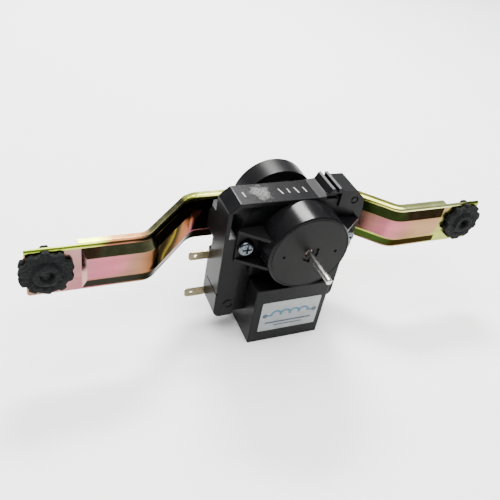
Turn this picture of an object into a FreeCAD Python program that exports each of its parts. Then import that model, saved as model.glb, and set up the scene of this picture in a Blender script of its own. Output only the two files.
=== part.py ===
import FreeCAD, Part
import math
import os

# Freezer fan motor: a C-frame shaded-pole motor between moulded housings, hung on a folded
# strap bracket with a rubber grommet at each end. Millimetres. The origin is on the shaft
# axis, level with the front housing's face. The shaft points along -Y and +Z is up.

V = FreeCAD.Vector

# Driving dimensions: the lamination stack
STACK_FRONT_Y = 15.0
STACK_DEPTH = 13.0
CORE_HALF_WIDTH = 30.0
CORE_TOP_Z = 18.5
CORE_BOTTOM_Z = -44.5
CORE_SHOULDER_R = 16.0
CORE_CORNER = 3.2
CORE_BORE_R = 13.6
LIMB_WIDTH = 10.0
WINDOW_TOP_Z = -22.4
BAR_HEIGHT = 11.5
DOVETAIL_REACH = 4.0
DOVETAIL_FLARE = 1.4
SADDLE_SLOT = 5.0
SADDLE_WEB = 1.0
WINDOW_CORNER = 1.5
SHADING_START = 28.0
SHADING_SPAN = 38.0
RING_FROM_BORE = 1.7
RING_WIRE = 0.75
RING_PROUD = 1.3
RING_ROOM = 0.3

# Driving dimensions: the shaft, the rotor and the bearings
SHAFT_R = 1.5
SHAFT_TIP_Y = -19.3
SHAFT_TIP_CHAMFER = 0.4
SHAFT_PAST_REAR = 1.0
SLINGER_GROOVE_Y = 0.5
SLINGER_GROOVE_WIDTH = 0.6
SLINGER_GROOVE_DEPTH = 0.25
AIR_GAP = 0.35
CAGE_BARS = 17
CAGE_BAR_R = 1.0
CAGE_BAR_INSET = 0.5
END_RING_HEIGHT = 2.4
END_RING_WIDTH = 3.6
END_RING_LIP = 0.25
SPACER_R = 3.2
WASHER_R = 3.6
WASHER_THICK = 0.7
END_PLAY = 0.3
BUSH_SPHERE_R = 4.2
BUSH_HALF_LENGTH = 3.0
BUSH_RUNNING_FIT = 0.03
SEAT_FIT = 0.05

# Driving dimensions: the housings
CUP_R = 20.0
CUP_WALL = 1.8
CUP_DEPTH = 14.0
CUP_EDGE = 0.7
CUP_GROOVE_R = 18.9
CUP_GROOVE = 0.35
FACE_WALL = 2.0
HUB_RECESS_R = 4.2
HUB_RECESS = 0.8
SHAFT_HOLE_R = 2.2
GATE_NOTCH = 1.3
DIMPLE_X = 13.0
DIMPLE_R = 0.75
DIMPLE_DEPTH = 0.6
SPIGOT_R = 18.0
SPIGOT_WALL = 1.7
BOSS_R = 9.0
BOSS_HEIGHT = 9.5
POCKET_R = 7.6
POCKET_FROM_FACE = 4.6
BUSH_FROM_FACE = 5.0
FELT_HEIGHT = 2.6
CLIP_THICK = 0.4
CLIP_FINGERS = 6
CLIP_SLOT = 1.0
EAR_THICK = 2.0
EAR_OVERHANG = 0.6
EAR_TOP_Z = 7.2
EAR_BOTTOM_Z = -10.2
EAR_CORNER = 2.5
GUSSET = 1.5
GUSSET_FRONT_Y = 3.0
PIN_FROM_EDGE = 9.0
PIN_LENGTH = 10.0
PIN_WIDTH = 1.9
REAR_RING_R = 18.4
REAR_RING_THICK = 2.4
NECK_R = 14.8
NECK_WALL = 1.4
REAR_SEAT_Y = 38.0
REAR_SEAT_THICK = 2.0
CAP_R = 19.85
CAP_WALL = 1.5
CAP_END_Y = 50.3
CAP_FIT = 0.04
CAP_EDGE = 1.2

# Driving dimensions: screws and nuts
CLAMP_FROM_EDGE = 4.0
CLAMP_Z = -2.3
CLAMP_SHANK_R = 1.95
CLAMP_HOLE_R = 2.1
CLAMP_HEAD_R = 4.0
CLAMP_HEAD_HEIGHT = 2.6
NUT_ACROSS_FLATS = 7.0
NUT_HEIGHT = 3.2
NUT_CONE = (1.6, 0.86)
SCREW_PROUD = 1.0
HEAD_ROUND = 0.55
THREAD_FIT = 0.04
DRIVER_SLOT = 0.9
DRIVER_DEPTH = 1.2
DRIVER_LENGTH = 4.4
BRACKET_SCREW_SHANK_R = 1.7
BRACKET_SCREW_LENGTH = 12.0
BRACKET_SCREW_HEAD_R = 3.3
BRACKET_SCREW_HEAD_HEIGHT = 2.2

# Driving dimensions: the strap frame and the latch frame
FRAME_FRONT_Y = 14.0
FRAME_BACK_Y = 29.0
FRAME_SIDE = 6.0
FRAME_LIP = 4.0
FRAME_LIP_TOP_Z = -3.7
FRAME_DROP = 1.5
FRAME_FIT = 0.1
STRAP_WALL = 2.0
SHOULDER_WIDTH = 4.8
SHOULDER_ROUND = 1.2
SHOULDER_Z = 16.0
LEG_CORNER = 3.5
LEG_STEP_Z = 2.0
LEG_WALL = 1.8
LEG_EDGE = 0.5
LEG_GROOVE_Z = -31.5
LEG_GROOVE = 0.8
LEG_POCKET = 2.6
LEG_POCKET_END = 3.5
LEG_POCKET_RIB = 2.0
EJECTOR_R = 2.6
EJECTOR_FROM_EDGE = 1.0
EJECTOR_RIM = 0.6
EJECTOR_PROUD = 0.4
EJECTOR_Z = -38.5
HOOK_BOTTOM_Z = -4.4
HOOK_TOP_Z = 7.4
HOOK_DEPTH = 8.5
HOOK_WIDTH = 4.0
STRAP_END_X = 6.0
TONGUE_LENGTH = 3.6
TONGUE_THICK = 1.0
TONGUE_ROOM = 0.1
LATCH_GAP = 0.3
LATCH_RAMP_X = 11.2
LATCH_RAMP = 0.5
LATCH_RIDGE_X = (12.7, 16.2)
LATCH_RIDGE = 1.1
LATCH_RIDGE_Z = 24.5
LATCH_RIDGE_SLANT = 0.35
LATCH_VALLEY_Z = 22.3
LATCH_FLAT_Z = 22.6
LATCH_FLAT_X = 19.3
LATCH_SHOULDER_FROM_EDGE = 4.0
LATCH_SIDE = 2.0
LATCH_SIDE_SLANT = 0.8
LATCH_SIDE_TOP_Z = 17.5
LATCH_SIDE_KNEE_Z = 12.5
LATCH_SIDE_BOTTOM_Z = 2.6
LATCH_INNER_SLOPE = ((0.1, 11.0), (-2.6, 16.0), (-7.0, 18.5))
LATCH_LIP_FROM_EDGE = 11.8
LATCH_LIP_DROP = 0.6
LATCH_RECESS = 2.2
LATCH_ARC_X = 18.6
LATCH_ARC_Z = 1.8
LATCH_ARC_R = 12.3
LATCH_HOLE_FROM_EDGE = 4.0
LATCH_HOLE_Z = 17.2
LATCH_HOLE_R = 2.0
LATCH_PIN_R = 1.25
LATCH_HOLE_DEPTH = 0.8

# Driving dimensions: the coil and its terminals
COVER_CLEARANCE = 0.5
COVER_FRONT_Y = 4.3
COVER_TOP_Z = -23.5
COVER_BOTTOM_Z = -58.6
COVER_WALL = 1.4
COVER_EDGE = 0.6
BOBBIN_FIT = 0.15
BOBBIN_WALL = 1.0
FLANGE_THICK = 1.2
FLANGE_FIT = 0.25
WINDING_DEPTH = 5.6
WINDING_CORNER = 3.0
LABEL_WIDTH = 31.8
LABEL_HEIGHT = 19.2
LABEL_X = 0.6
LABEL_Z = -41.7
LABEL_THICK = 0.2
LABEL_CORNER = 0.8
TERMINAL_WIDTH = 4.8
TERMINAL_THICK = 0.8
TERMINAL_REACH = 10.2
TERMINAL_ROOT = 1.8
TERMINAL_NECK = 0.7
TERMINAL_Y = 29.4
TERMINAL_Z = (-18.4, -42.0)
TERMINAL_HOLE_R = 0.9
TERMINAL_HOLE_FROM_TIP = 3.4
TERMINAL_TAPER = 1.1
BLOCK_THICK = 2.8
BLOCK_TOP_Z = -14.0
BLOCK_FOOT_Z = -25.0
BLOCK_COLUMN = 3.6
BLOCK_CORNER = 0.8

# Driving dimensions: the bracket and the grommets
SHEET = 1.0
STRIP_TOP_Z = -1.0
STRIP_BOTTOM_Z = -26.0
STRIP_FLANGE = 4.2
STRIP_FOLD_R = 1.8
ARM_Y = 25.5
BRACKET_CLEARANCE = 0.2
RIB_HEIGHT = 2.0
RIB_FOOT_Z = (-3.0, -25.3)
RIB_CREST_Z = (-7.8, -19.5)
RIB_END_X = 96.0
RIB_ROUND = 1.2
BEND_R = 10.0
ARM_BEND_X = 66.0
PAD_END_X = 119.0
PAD_CORNER = 1.5
FLANGE_END_X = 97.0
STANDOFF_FROM_CAP = 1.15
STANDOFF_INSET = 0.4
STANDOFF_Z = (-18.6, -6.6)
STANDOFF_CORNER = 1.5
BRACKET_HOLE_FIT = 0.15
GROMMET_X = 110.6
GROMMET_Z = -13.0
GROMMET_BORE_R = 3.0
GROMMET_SEAT_R = 7.5
GROMMET_ROOT_R = 10.3
GROMMET_TIP_R = 12.1
GROMMET_TEETH = 10
GROMMET_FRONT = 3.0
GROMMET_BACK = 2.8
GROMMET_RING_R = 5.6
GROMMET_RING = 1.2
TOOTH_ROOT_SHARE = 0.30
TOOTH_TIP_SHARE = 0.17
TOOTH_ROUND = 0.7
GROMMET_FIT = 0.02

# Places worked out from the sizes above
LIMB_INNER_X = CORE_HALF_WIDTH - LIMB_WIDTH
COVER_HALF_X = LIMB_INNER_X - COVER_CLEARANCE
EAR_REACH = CORE_HALF_WIDTH + EAR_OVERHANG
CLAMP_X = CORE_HALF_WIDTH - CLAMP_FROM_EDGE
PIN_X = CORE_HALF_WIDTH - PIN_FROM_EDGE
FRAME_SIDE_X = CORE_HALF_WIDTH + FRAME_SIDE
FRAME_LIP_X = CORE_HALF_WIDTH - FRAME_LIP
FRAME_BOTTOM_Z = CORE_BOTTOM_Z - FRAME_DROP
SHOULDER_X = FRAME_SIDE_X - SHOULDER_WIDTH
EJECTOR_X = EJECTOR_FROM_EDGE - CORE_HALF_WIDTH
LATCH_START_X = STRAP_END_X + LATCH_GAP
LATCH_SIDE_X = CORE_HALF_WIDTH + LATCH_SIDE
LATCH_SHOULDER_X = CORE_HALF_WIDTH - LATCH_SHOULDER_FROM_EDGE
LATCH_LIP_X = CORE_HALF_WIDTH - LATCH_LIP_FROM_EDGE
LATCH_HOLE_X = CORE_HALF_WIDTH - LATCH_HOLE_FROM_EDGE
TERMINAL_TIP_X = -FRAME_SIDE_X - TERMINAL_REACH
TERMINAL_ROOT_X = TERMINAL_ROOT - FRAME_SIDE_X
REAR_SEAT_R = CAP_R - CAP_WALL - CAP_FIT
STANDOFF_X = (CAP_R + STANDOFF_FROM_CAP, EAR_REACH - STANDOFF_INSET)
STACK_BACK_Y = STACK_FRONT_Y + STACK_DEPTH
STACK_MID_Y = STACK_FRONT_Y + STACK_DEPTH / 2
BAR_TOP_Z = CORE_BOTTOM_Z + BAR_HEIGHT
REAR_FACE_Y = REAR_SEAT_Y + REAR_SEAT_THICK
COVER_BACK_Y = 2 * STACK_MID_Y - COVER_FRONT_Y
ROTOR_R = CORE_BORE_R - AIR_GAP
RING_R = CORE_BORE_R + RING_FROM_BORE
CENTRE_Y = CAP_END_Y + BRACKET_CLEARANCE + RIB_HEIGHT
CENTRE_BEND_X = ARM_BEND_X - (CENTRE_Y - ARM_Y)
STANDOFF_END_Y = CENTRE_Y - RIB_HEIGHT
BRACKET_SCREW_X = sum(STANDOFF_X) / 2
BRACKET_SCREW_Z = sum(STANDOFF_Z) / 2


def box(x0, x1, y0, y1, z0, z1):
    return Part.makeBox(x1 - x0, y1 - y0, z1 - z0, V(x0, y0, z0))


def rod(radius, y0, y1, x=0.0, z=0.0):
    return Part.makeCylinder(radius, y1 - y0, V(x, y0, z), V(0, 1, 0))


def tube(outer, inner, y0, y1, x=0.0, z=0.0):
    return rod(outer, y0, y1, x, z).cut(rod(inner, y0 - 1, y1 + 1, x, z))


def rounded_edges(points, radii, closed=True):
    """Edges through the points, each corner rounded by the radius that radii gives its index."""
    count = len(points)
    ends = []
    for index, corner in enumerate(points):
        radius = radii.get(index, 0.0)
        if radius == 0.0:
            ends.append((corner, None, corner))
            continue
        to_last = points[index - 1].sub(corner)
        to_next = points[(index + 1) % count].sub(corner)
        to_last.normalize()
        to_next.normalize()
        half = to_last.getAngle(to_next) / 2
        reach = radius / math.tan(half)
        middle = to_last.add(to_next)
        middle.normalize()
        crown = corner.add(middle * (radius / math.sin(half) - radius))
        ends.append((corner.add(to_last * reach), crown, corner.add(to_next * reach)))
    edges = []
    for index in range(count):
        first, crown, last = ends[index]
        if crown is not None:
            edges.append(Part.Arc(first, crown, last).toShape())
        if index == count - 1 and not closed:
            break
        target = ends[(index + 1) % count][0]
        if last.distanceToPoint(target) > 1e-6:
            edges.append(Part.LineSegment(last, target).toShape())
    return edges


def plate(points, y0, y1, radii=None):
    """A flat outline given in X and Z, pulled along Y from y0 to y1."""
    corners = [V(x, y0, z) for x, z in points]
    wire = Part.Wire(rounded_edges(corners, radii or {}))
    return Part.Face(wire).extrude(V(0, y1 - y0, 0))


def slab(points, z0, z1, radii=None):
    """A flat outline given in X and Y, pulled along Z from z0 to z1."""
    corners = [V(x, y, z0) for x, y in points]
    wire = Part.Wire(rounded_edges(corners, radii or {}))
    return Part.Face(wire).extrude(V(0, 0, z1 - z0))


def turned(points):
    """A solid of revolution about the shaft axis from an outline given as radius and Y."""
    corners = [V(radius, y, 0) for radius, y in points]
    wire = Part.Wire(rounded_edges(corners, {}))
    return Part.Face(wire).revolve(V(0, 0, 0), V(0, 1, 0), 360)


def mirrored(shape):
    return shape.mirror(V(0, 0, 0), V(1, 0, 0))


def around(shape, degrees):
    copy = shape.copy()
    copy.rotate(V(0, 0, 0), V(0, 1, 0), degrees)
    return copy


# The lamination stack: a C of limbs and shoulders, closed below by a dovetailed bar
def dovetail(sign):
    root = sign * LIMB_INNER_X
    tip = sign * (LIMB_INNER_X + DOVETAIL_REACH)
    middle = (CORE_BOTTOM_Z + BAR_TOP_Z) / 2
    narrow = BAR_HEIGHT / 4
    wide = narrow + DOVETAIL_FLARE
    points = [(root, middle - narrow), (tip, middle - wide), (tip, middle + wide), (root, middle + narrow)]
    return plate(points, STACK_FRONT_Y, STACK_BACK_Y)


def shading_ends(sign):
    """Angles of the two slots that one shading ring passes through."""
    start = SHADING_START if sign > 0 else SHADING_START + 180
    return start, start + SHADING_SPAN


def polar(radius, degrees):
    return radius * math.cos(math.radians(degrees)), radius * math.sin(math.radians(degrees))


def stator_core():
    radii = {0: CORE_CORNER, 1: CORE_SHOULDER_R, 2: CORE_SHOULDER_R, 3: CORE_CORNER}
    side = CORE_HALF_WIDTH
    outline = [(-side, CORE_BOTTOM_Z), (-side, CORE_TOP_Z), (side, CORE_TOP_Z), (side, CORE_BOTTOM_Z)]
    core = plate(outline, STACK_FRONT_Y, STACK_BACK_Y, radii)
    core = core.cut(rod(CORE_BORE_R, STACK_FRONT_Y - 1, STACK_BACK_Y + 1))
    low = CORE_BOTTOM_Z - 1
    limb = LIMB_INNER_X
    window = [(-limb, low), (-limb, WINDOW_TOP_Z), (limb, WINDOW_TOP_Z), (limb, low)]
    corners = {1: WINDOW_CORNER, 2: WINDOW_CORNER}
    core = core.cut(plate(window, STACK_FRONT_Y - 1, STACK_BACK_Y + 1, corners))
    half = SADDLE_SLOT / 2
    web = CORE_BORE_R + SADDLE_WEB
    core = core.cut(box(-half, half, STACK_FRONT_Y - 1, STACK_BACK_Y + 1, WINDOW_TOP_Z - 1, -web))
    core = core.cut(box(-half, half, STACK_FRONT_Y - 1, STACK_BACK_Y + 1, web, CORE_TOP_Z + 1))
    for sign in (-1, 1):
        core = core.cut(dovetail(sign))
        core = core.cut(rod(CLAMP_HOLE_R, STACK_FRONT_Y - 1, STACK_BACK_Y + 1, sign * CLAMP_X, CLAMP_Z))
        for degrees in shading_ends(sign):
            x, z = polar(RING_R, degrees)
            core = core.cut(rod(RING_WIRE + SEAT_FIT, STACK_FRONT_Y - 1, STACK_BACK_Y + 1, x, z))
    return core


def core_bar():
    bar = box(-LIMB_INNER_X, LIMB_INNER_X, STACK_FRONT_Y, STACK_BACK_Y, CORE_BOTTOM_Z, BAR_TOP_Z)
    return bar.fuse([dovetail(-1), dovetail(1)]).removeSplitter()


def shading_ring(sign):
    """A closed loop of copper wire through two slots, with an arc across each face of the stack."""
    first, last = shading_ends(sign)
    inner = RING_R - RING_WIRE
    outer = RING_R + RING_WIRE
    parts = []
    for degrees in (first, last):
        x, z = polar(RING_R, degrees)
        parts.append(rod(RING_WIRE, STACK_FRONT_Y - RING_WIRE, STACK_BACK_Y + RING_WIRE, x, z))
    middle = (first + last) / 2
    for y0, y1 in ((STACK_FRONT_Y - RING_PROUD, STACK_FRONT_Y), (STACK_BACK_Y, STACK_BACK_Y + RING_PROUD)):
        points = [polar(inner, first), polar(inner, middle), polar(inner, last)]
        points += [polar(outer, last), polar(outer, middle), polar(outer, first)]
        a, b, c, d, e, f = [V(x, y0, z) for x, z in points]
        edges = [Part.Arc(a, b, c).toShape(), Part.LineSegment(c, d).toShape()]
        edges += [Part.Arc(d, e, f).toShape(), Part.LineSegment(f, a).toShape()]
        parts.append(Part.Face(Part.Wire(edges)).extrude(V(0, y1 - y0, 0)))
        for degrees in (first, last):
            x, z = polar(RING_R, degrees)
            parts.append(rod(RING_WIRE, y0, y1, x, z))
    return parts[0].fuse(parts[1:]).removeSplitter()


# The turning parts
def shaft():
    end = REAR_FACE_Y + SHAFT_PAST_REAR
    body = rod(SHAFT_R, SHAFT_TIP_Y, end)
    tip = SHAFT_R - SHAFT_TIP_CHAMFER
    full_y = SHAFT_TIP_Y + SHAFT_TIP_CHAMFER
    ring = [(tip, SHAFT_TIP_Y), (SHAFT_R + 1, SHAFT_TIP_Y - 1), (SHAFT_R + 1, full_y), (SHAFT_R, full_y)]
    body = body.cut(turned(ring))
    groove_r = SHAFT_R - SLINGER_GROOVE_DEPTH
    body = body.cut(tube(SHAFT_R + 1, groove_r, SLINGER_GROOVE_Y, SLINGER_GROOVE_Y + SLINGER_GROOVE_WIDTH))
    return body


def cage_bar_radius():
    return ROTOR_R - CAGE_BAR_INSET - CAGE_BAR_R


def cage_bars(y0, y1):
    bars = []
    for index in range(CAGE_BARS):
        x, z = polar(cage_bar_radius(), index * 360.0 / CAGE_BARS)
        bars.append(rod(CAGE_BAR_R, y0, y1, x, z))
    return bars


def rotor_core():
    core = tube(ROTOR_R, SHAFT_R, STACK_FRONT_Y, STACK_BACK_Y)
    return core.cut(cage_bars(STACK_FRONT_Y - 1, STACK_BACK_Y + 1))


def rotor_cage():
    outer = cage_bar_radius() + CAGE_BAR_R + END_RING_LIP
    inner = outer - END_RING_WIDTH
    front = tube(outer, inner, STACK_FRONT_Y - END_RING_HEIGHT, STACK_FRONT_Y)
    back = tube(outer, inner, STACK_BACK_Y, STACK_BACK_Y + END_RING_HEIGHT)
    return front.fuse([back] + cage_bars(STACK_FRONT_Y - 0.5, STACK_BACK_Y + 0.5)).removeSplitter()


def front_bush_end():
    return BUSH_FROM_FACE + BUSH_HALF_LENGTH


def rear_bush_end():
    return REAR_FACE_Y - BUSH_FROM_FACE - BUSH_HALF_LENGTH


def thrust_washer_front():
    y0 = front_bush_end() + END_PLAY
    return tube(WASHER_R, SHAFT_R, y0, y0 + WASHER_THICK)


def thrust_washer_rear():
    y1 = rear_bush_end() - END_PLAY
    return tube(WASHER_R, SHAFT_R, y1 - WASHER_THICK, y1)


def rotor_spacer_front():
    return tube(SPACER_R, SHAFT_R, front_bush_end() + END_PLAY + WASHER_THICK, STACK_FRONT_Y)


def rotor_spacer_rear():
    return tube(SPACER_R, SHAFT_R, STACK_BACK_Y, rear_bush_end() - END_PLAY - WASHER_THICK)


# One bearing set, seen from the outside face of its housing wall. side is 1 at the front, where
# the motor lies towards +Y, and -1 at the rear.
def span(face_y, side, near, far):
    ends = (face_y + side * near, face_y + side * far)
    return min(ends), max(ends)


def bearing_bush(face_y, side):
    centre = V(0, face_y + side * BUSH_FROM_FACE, 0)
    ball = Part.makeSphere(BUSH_SPHERE_R, centre)
    y0, y1 = span(face_y, side, BUSH_FROM_FACE - BUSH_HALF_LENGTH, BUSH_FROM_FACE + BUSH_HALF_LENGTH)
    return ball.common(tube(BUSH_SPHERE_R + 1, SHAFT_R + BUSH_RUNNING_FIT, y0, y1))


def bearing_cavity(face_y, side):
    centre = V(0, face_y + side * BUSH_FROM_FACE, 0)
    y0, y1 = span(face_y, side, BUSH_FROM_FACE - BUSH_HALF_LENGTH, BOSS_HEIGHT + 1)
    ball = Part.makeSphere(BUSH_SPHERE_R + SEAT_FIT, centre).common(rod(BOSS_R, y0, y1))
    pocket = rod(POCKET_R, *span(face_y, side, POCKET_FROM_FACE, BOSS_HEIGHT + 1))
    hole = rod(SHAFT_HOLE_R, *span(face_y, side, -1, BUSH_FROM_FACE))
    return ball.fuse([pocket, hole])


def oil_felt(face_y, side):
    y0, y1 = span(face_y, side, POCKET_FROM_FACE, POCKET_FROM_FACE + FELT_HEIGHT)
    return tube(POCKET_R - SEAT_FIT, BUSH_SPHERE_R + 2 * SEAT_FIT, y0, y1)


def bearing_clip(face_y, side):
    """A spring-steel star that holds the bush in its seat."""
    near = POCKET_FROM_FACE + FELT_HEIGHT
    y0, y1 = span(face_y, side, near, near + CLIP_THICK)
    reach = near - BUSH_FROM_FACE
    inner = math.sqrt(BUSH_SPHERE_R ** 2 - reach ** 2) + SEAT_FIT
    clip = tube(POCKET_R, inner, y0, y1)
    slot = box(inner - 1, (inner + POCKET_R) / 2, y0 - 1, y1 + 1, -CLIP_SLOT / 2, CLIP_SLOT / 2)
    return clip.cut([around(slot, index * 360.0 / CLIP_FINGERS) for index in range(CLIP_FINGERS)])


def bearing_boss(face_y, side):
    return rod(BOSS_R, *span(face_y, side, FACE_WALL - 0.5, BOSS_HEIGHT))


# The front housing: a deep cup with gusseted ears, one moulding
def clamp_ear(y0, y1, z0, z1):
    points = [(0, z0), (EAR_REACH, z0), (EAR_REACH, z1), (0, z1)]
    ear = plate(points, y0, y1, {1: EAR_CORNER, 2: EAR_CORNER})
    return ear.fuse(mirrored(ear)).removeSplitter()


def gusset(z0):
    inner = math.sqrt((CUP_R - CUP_WALL / 2) ** 2 - max(abs(z0), abs(z0 + GUSSET)) ** 2)
    back = STACK_FRONT_Y - EAR_THICK / 2
    points = [(inner, GUSSET_FRONT_Y), (EAR_REACH, back - EAR_THICK / 2), (EAR_REACH, back), (inner, back)]
    web = slab(points, z0, z0 + GUSSET)
    return [web, mirrored(web)]


def locating_pin():
    half = PIN_WIDTH / 2
    z0 = EAR_BOTTOM_Z - PIN_LENGTH
    z1 = EAR_BOTTOM_Z + 1
    points = [(PIN_X - half, z0), (PIN_X + half, z0), (PIN_X + half, z1), (PIN_X - half, z1)]
    tip = half * 0.98
    pin = plate(points, STACK_FRONT_Y - EAR_THICK, STACK_FRONT_Y, {0: tip, 1: tip})
    return [pin, mirrored(pin)]


def front_housing():
    cup = rod(CUP_R, 0, CUP_DEPTH)
    cup = cup.makeChamfer(CUP_EDGE, [e for e in cup.Edges if e.BoundBox.YMax < 0.01])
    ear_y = STACK_FRONT_Y - EAR_THICK
    solids = [rod(SPIGOT_R, CUP_DEPTH - 1, STACK_FRONT_Y)]
    solids.append(clamp_ear(ear_y, STACK_FRONT_Y, EAR_BOTTOM_Z, EAR_TOP_Z))
    solids += gusset(EAR_TOP_Z - GUSSET) + gusset(EAR_BOTTOM_Z) + locating_pin()
    body = cup.fuse(solids)
    body = body.cut(rod(CUP_R - CUP_WALL, FACE_WALL, CUP_DEPTH - 1))
    body = body.cut(rod(SPIGOT_R - SPIGOT_WALL, FACE_WALL, STACK_FRONT_Y + 1))
    body = body.fuse(bearing_boss(0, 1)).cut(bearing_cavity(0, 1))
    groove = tube(CUP_GROOVE_R, CUP_GROOVE_R - CUP_GROOVE, -1, CUP_GROOVE)
    cuts = [groove, rod(HUB_RECESS_R, -1, HUB_RECESS)]
    half = GATE_NOTCH / 2
    notch = box(HUB_RECESS_R - half, HUB_RECESS_R + half, -1, HUB_RECESS, -half, half)
    cuts += [around(notch, degrees) for degrees in (90, 210, 330)]
    for sign in (-1, 1):
        cuts.append(rod(DIMPLE_R, -1, DIMPLE_DEPTH, sign * DIMPLE_X))
        cuts.append(rod(CLAMP_HOLE_R, 0, STACK_FRONT_Y + 1, sign * CLAMP_X, CLAMP_Z))
    return body.cut(cuts).removeSplitter()


# The rear housing: a ring on the stack, a neck, a seat for the cap, and two stand-offs
def standoff():
    x0, x1 = STANDOFF_X
    z0, z1 = STANDOFF_Z
    radii = {0: STANDOFF_CORNER, 1: STANDOFF_CORNER, 2: STANDOFF_CORNER, 3: STANDOFF_CORNER}
    post = plate([(x0, z0), (x1, z0), (x1, z1), (x0, z1)], STACK_BACK_Y, STANDOFF_END_Y, radii)
    depth = BRACKET_SCREW_LENGTH + 1
    y0 = STANDOFF_END_Y - depth
    pilot = rod(BRACKET_SCREW_SHANK_R, y0, STANDOFF_END_Y + 1, BRACKET_SCREW_X, BRACKET_SCREW_Z)
    return post.cut(pilot)


def rear_housing():
    ring_back = STACK_BACK_Y + REAR_RING_THICK
    solids = [rod(NECK_R, STACK_BACK_Y, REAR_SEAT_Y), rod(REAR_SEAT_R, REAR_SEAT_Y, REAR_FACE_Y)]
    solids.append(clamp_ear(STACK_BACK_Y, ring_back, STANDOFF_Z[0], EAR_TOP_Z))
    solids += [standoff(), mirrored(standoff())]
    body = rod(REAR_RING_R, STACK_BACK_Y, ring_back).fuse(solids)
    room_y = STACK_BACK_Y + RING_PROUD + RING_ROOM
    body = body.cut(rod(RING_R + RING_WIRE + RING_ROOM, STACK_BACK_Y - 1, room_y))
    body = body.cut(rod(NECK_R - NECK_WALL, STACK_BACK_Y, REAR_FACE_Y - FACE_WALL))
    body = body.fuse(bearing_boss(REAR_FACE_Y, -1)).cut(bearing_cavity(REAR_FACE_Y, -1))
    screws = [rod(CLAMP_HOLE_R, STACK_BACK_Y - 1, ring_back + 1, s * CLAMP_X, CLAMP_Z) for s in (-1, 1)]
    return body.cut(screws).removeSplitter()


def rear_cap():
    cap = rod(CAP_R, REAR_SEAT_Y, CAP_END_Y)
    cap = cap.makeFillet(CAP_EDGE, [e for e in cap.Edges if e.BoundBox.YMin > CAP_END_Y - 0.01])
    return cap.cut(rod(REAR_SEAT_R + CAP_FIT, REAR_SEAT_Y - 1, CAP_END_Y - CAP_WALL))


# Screws and nuts
def pan_head_screw(x, z, head_y, toward, radius, length, head_r, head_height):
    """A cross-recessed pan head whose underside is at head_y; the shank runs along toward."""
    head_ends = sorted((head_y, head_y - toward * head_height))
    head = rod(head_r, head_ends[0], head_ends[1], x, z)
    top_y = head_y - toward * head_height
    flat = [e for e in head.Edges if e.BoundBox.YLength < 0.01]
    rim = [e for e in flat if abs(e.BoundBox.YMin - top_y) < 0.01]
    head = head.makeFillet(head_height * HEAD_ROUND, rim)
    shank_ends = sorted((head_y, head_y + toward * length))
    screw = head.fuse(rod(radius, shank_ends[0], shank_ends[1], x, z))
    deep = sorted((top_y - toward, top_y + toward * DRIVER_DEPTH))
    half = DRIVER_SLOT / 2
    long = DRIVER_LENGTH / 2 * head_r / CLAMP_HEAD_R
    slot_a = box(x - long, x + long, deep[0], deep[1], z - half, z + half)
    slot_b = box(x - half, x + half, deep[0], deep[1], z - long, z + long)
    return screw.cut([slot_a, slot_b]).removeSplitter()


def clamp_screw(sign):
    head_y = STACK_FRONT_Y - EAR_THICK
    end_y = STACK_BACK_Y + REAR_RING_THICK + NUT_HEIGHT + SCREW_PROUD
    length = end_y - head_y
    x = sign * CLAMP_X
    head_r = CLAMP_HEAD_R
    return pan_head_screw(x, CLAMP_Z, head_y, 1, CLAMP_SHANK_R, length, head_r, CLAMP_HEAD_HEIGHT)


def clamp_nut(sign):
    y0 = STACK_BACK_Y + REAR_RING_THICK
    corner = NUT_ACROSS_FLATS / math.sqrt(3)
    points = []
    for index in range(6):
        x, z = polar(corner, index * 60.0)
        points.append((sign * CLAMP_X + x, CLAMP_Z + z))
    nut = plate(points, y0, y0 + NUT_HEIGHT)
    foot, crown = NUT_CONE
    place = V(sign * CLAMP_X, y0, CLAMP_Z)
    dome = Part.makeCone(corner * foot, corner * crown, NUT_HEIGHT, place, V(0, 1, 0))
    bore = rod(CLAMP_SHANK_R + THREAD_FIT, y0 - 1, y0 + NUT_HEIGHT + 1, sign * CLAMP_X, CLAMP_Z)
    return nut.common(dome).cut(bore)


def bracket_screw(sign):
    head_y = STANDOFF_END_Y + SHEET
    radius = BRACKET_SCREW_SHANK_R - THREAD_FIT
    length = BRACKET_SCREW_LENGTH
    x = sign * BRACKET_SCREW_X
    head_r = BRACKET_SCREW_HEAD_R
    return pan_head_screw(x, BRACKET_SCREW_Z, head_y, -1, radius, length, head_r, BRACKET_SCREW_HEAD_HEIGHT)


# The strap frame: the left leg, its shoulder and the strap over the top, one moulding
def ear_windows():
    """Clearance for the front and rear housings' ears, which lie flat on the stack."""
    x = EAR_REACH + FRAME_FIT
    z1 = EAR_TOP_Z + FRAME_FIT
    front = box(-x, x, FRAME_FRONT_Y - 1, STACK_FRONT_Y + FRAME_FIT, EAR_BOTTOM_Z - FRAME_FIT, z1)
    back = box(-x, x, STACK_BACK_Y - FRAME_FIT, FRAME_BACK_Y + 1, STANDOFF_Z[0] - FRAME_FIT, z1)
    return [front, back]


def outer_rims(body):
    """The front and back edges along the leg's side, the shoulder and the strap's top."""
    chosen = []
    for edge in body.Edges:
        if edge.BoundBox.YLength > 0.01:
            continue
        middle = edge.CenterOfMass
        on_side = middle.x < LEG_EDGE - FRAME_SIDE_X
        on_shoulder = middle.x < -SHOULDER_X and middle.z > SHOULDER_Z
        on_top = middle.z > CORE_TOP_Z + STRAP_WALL - LEG_EDGE
        if (on_side or on_shoulder or on_top) and middle.z > FRAME_BOTTOM_Z + LEG_CORNER:
            chosen.append(edge)
    return chosen


def leg_pocket(z0, z1):
    """A cored pocket in the leg, open towards the back."""
    web = (FRAME_SIDE - LEG_POCKET) / 2
    x0 = web - FRAME_SIDE_X
    return box(x0, x0 + LEG_POCKET, STACK_FRONT_Y + 1, FRAME_BACK_Y + 1, z0, z1)


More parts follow.
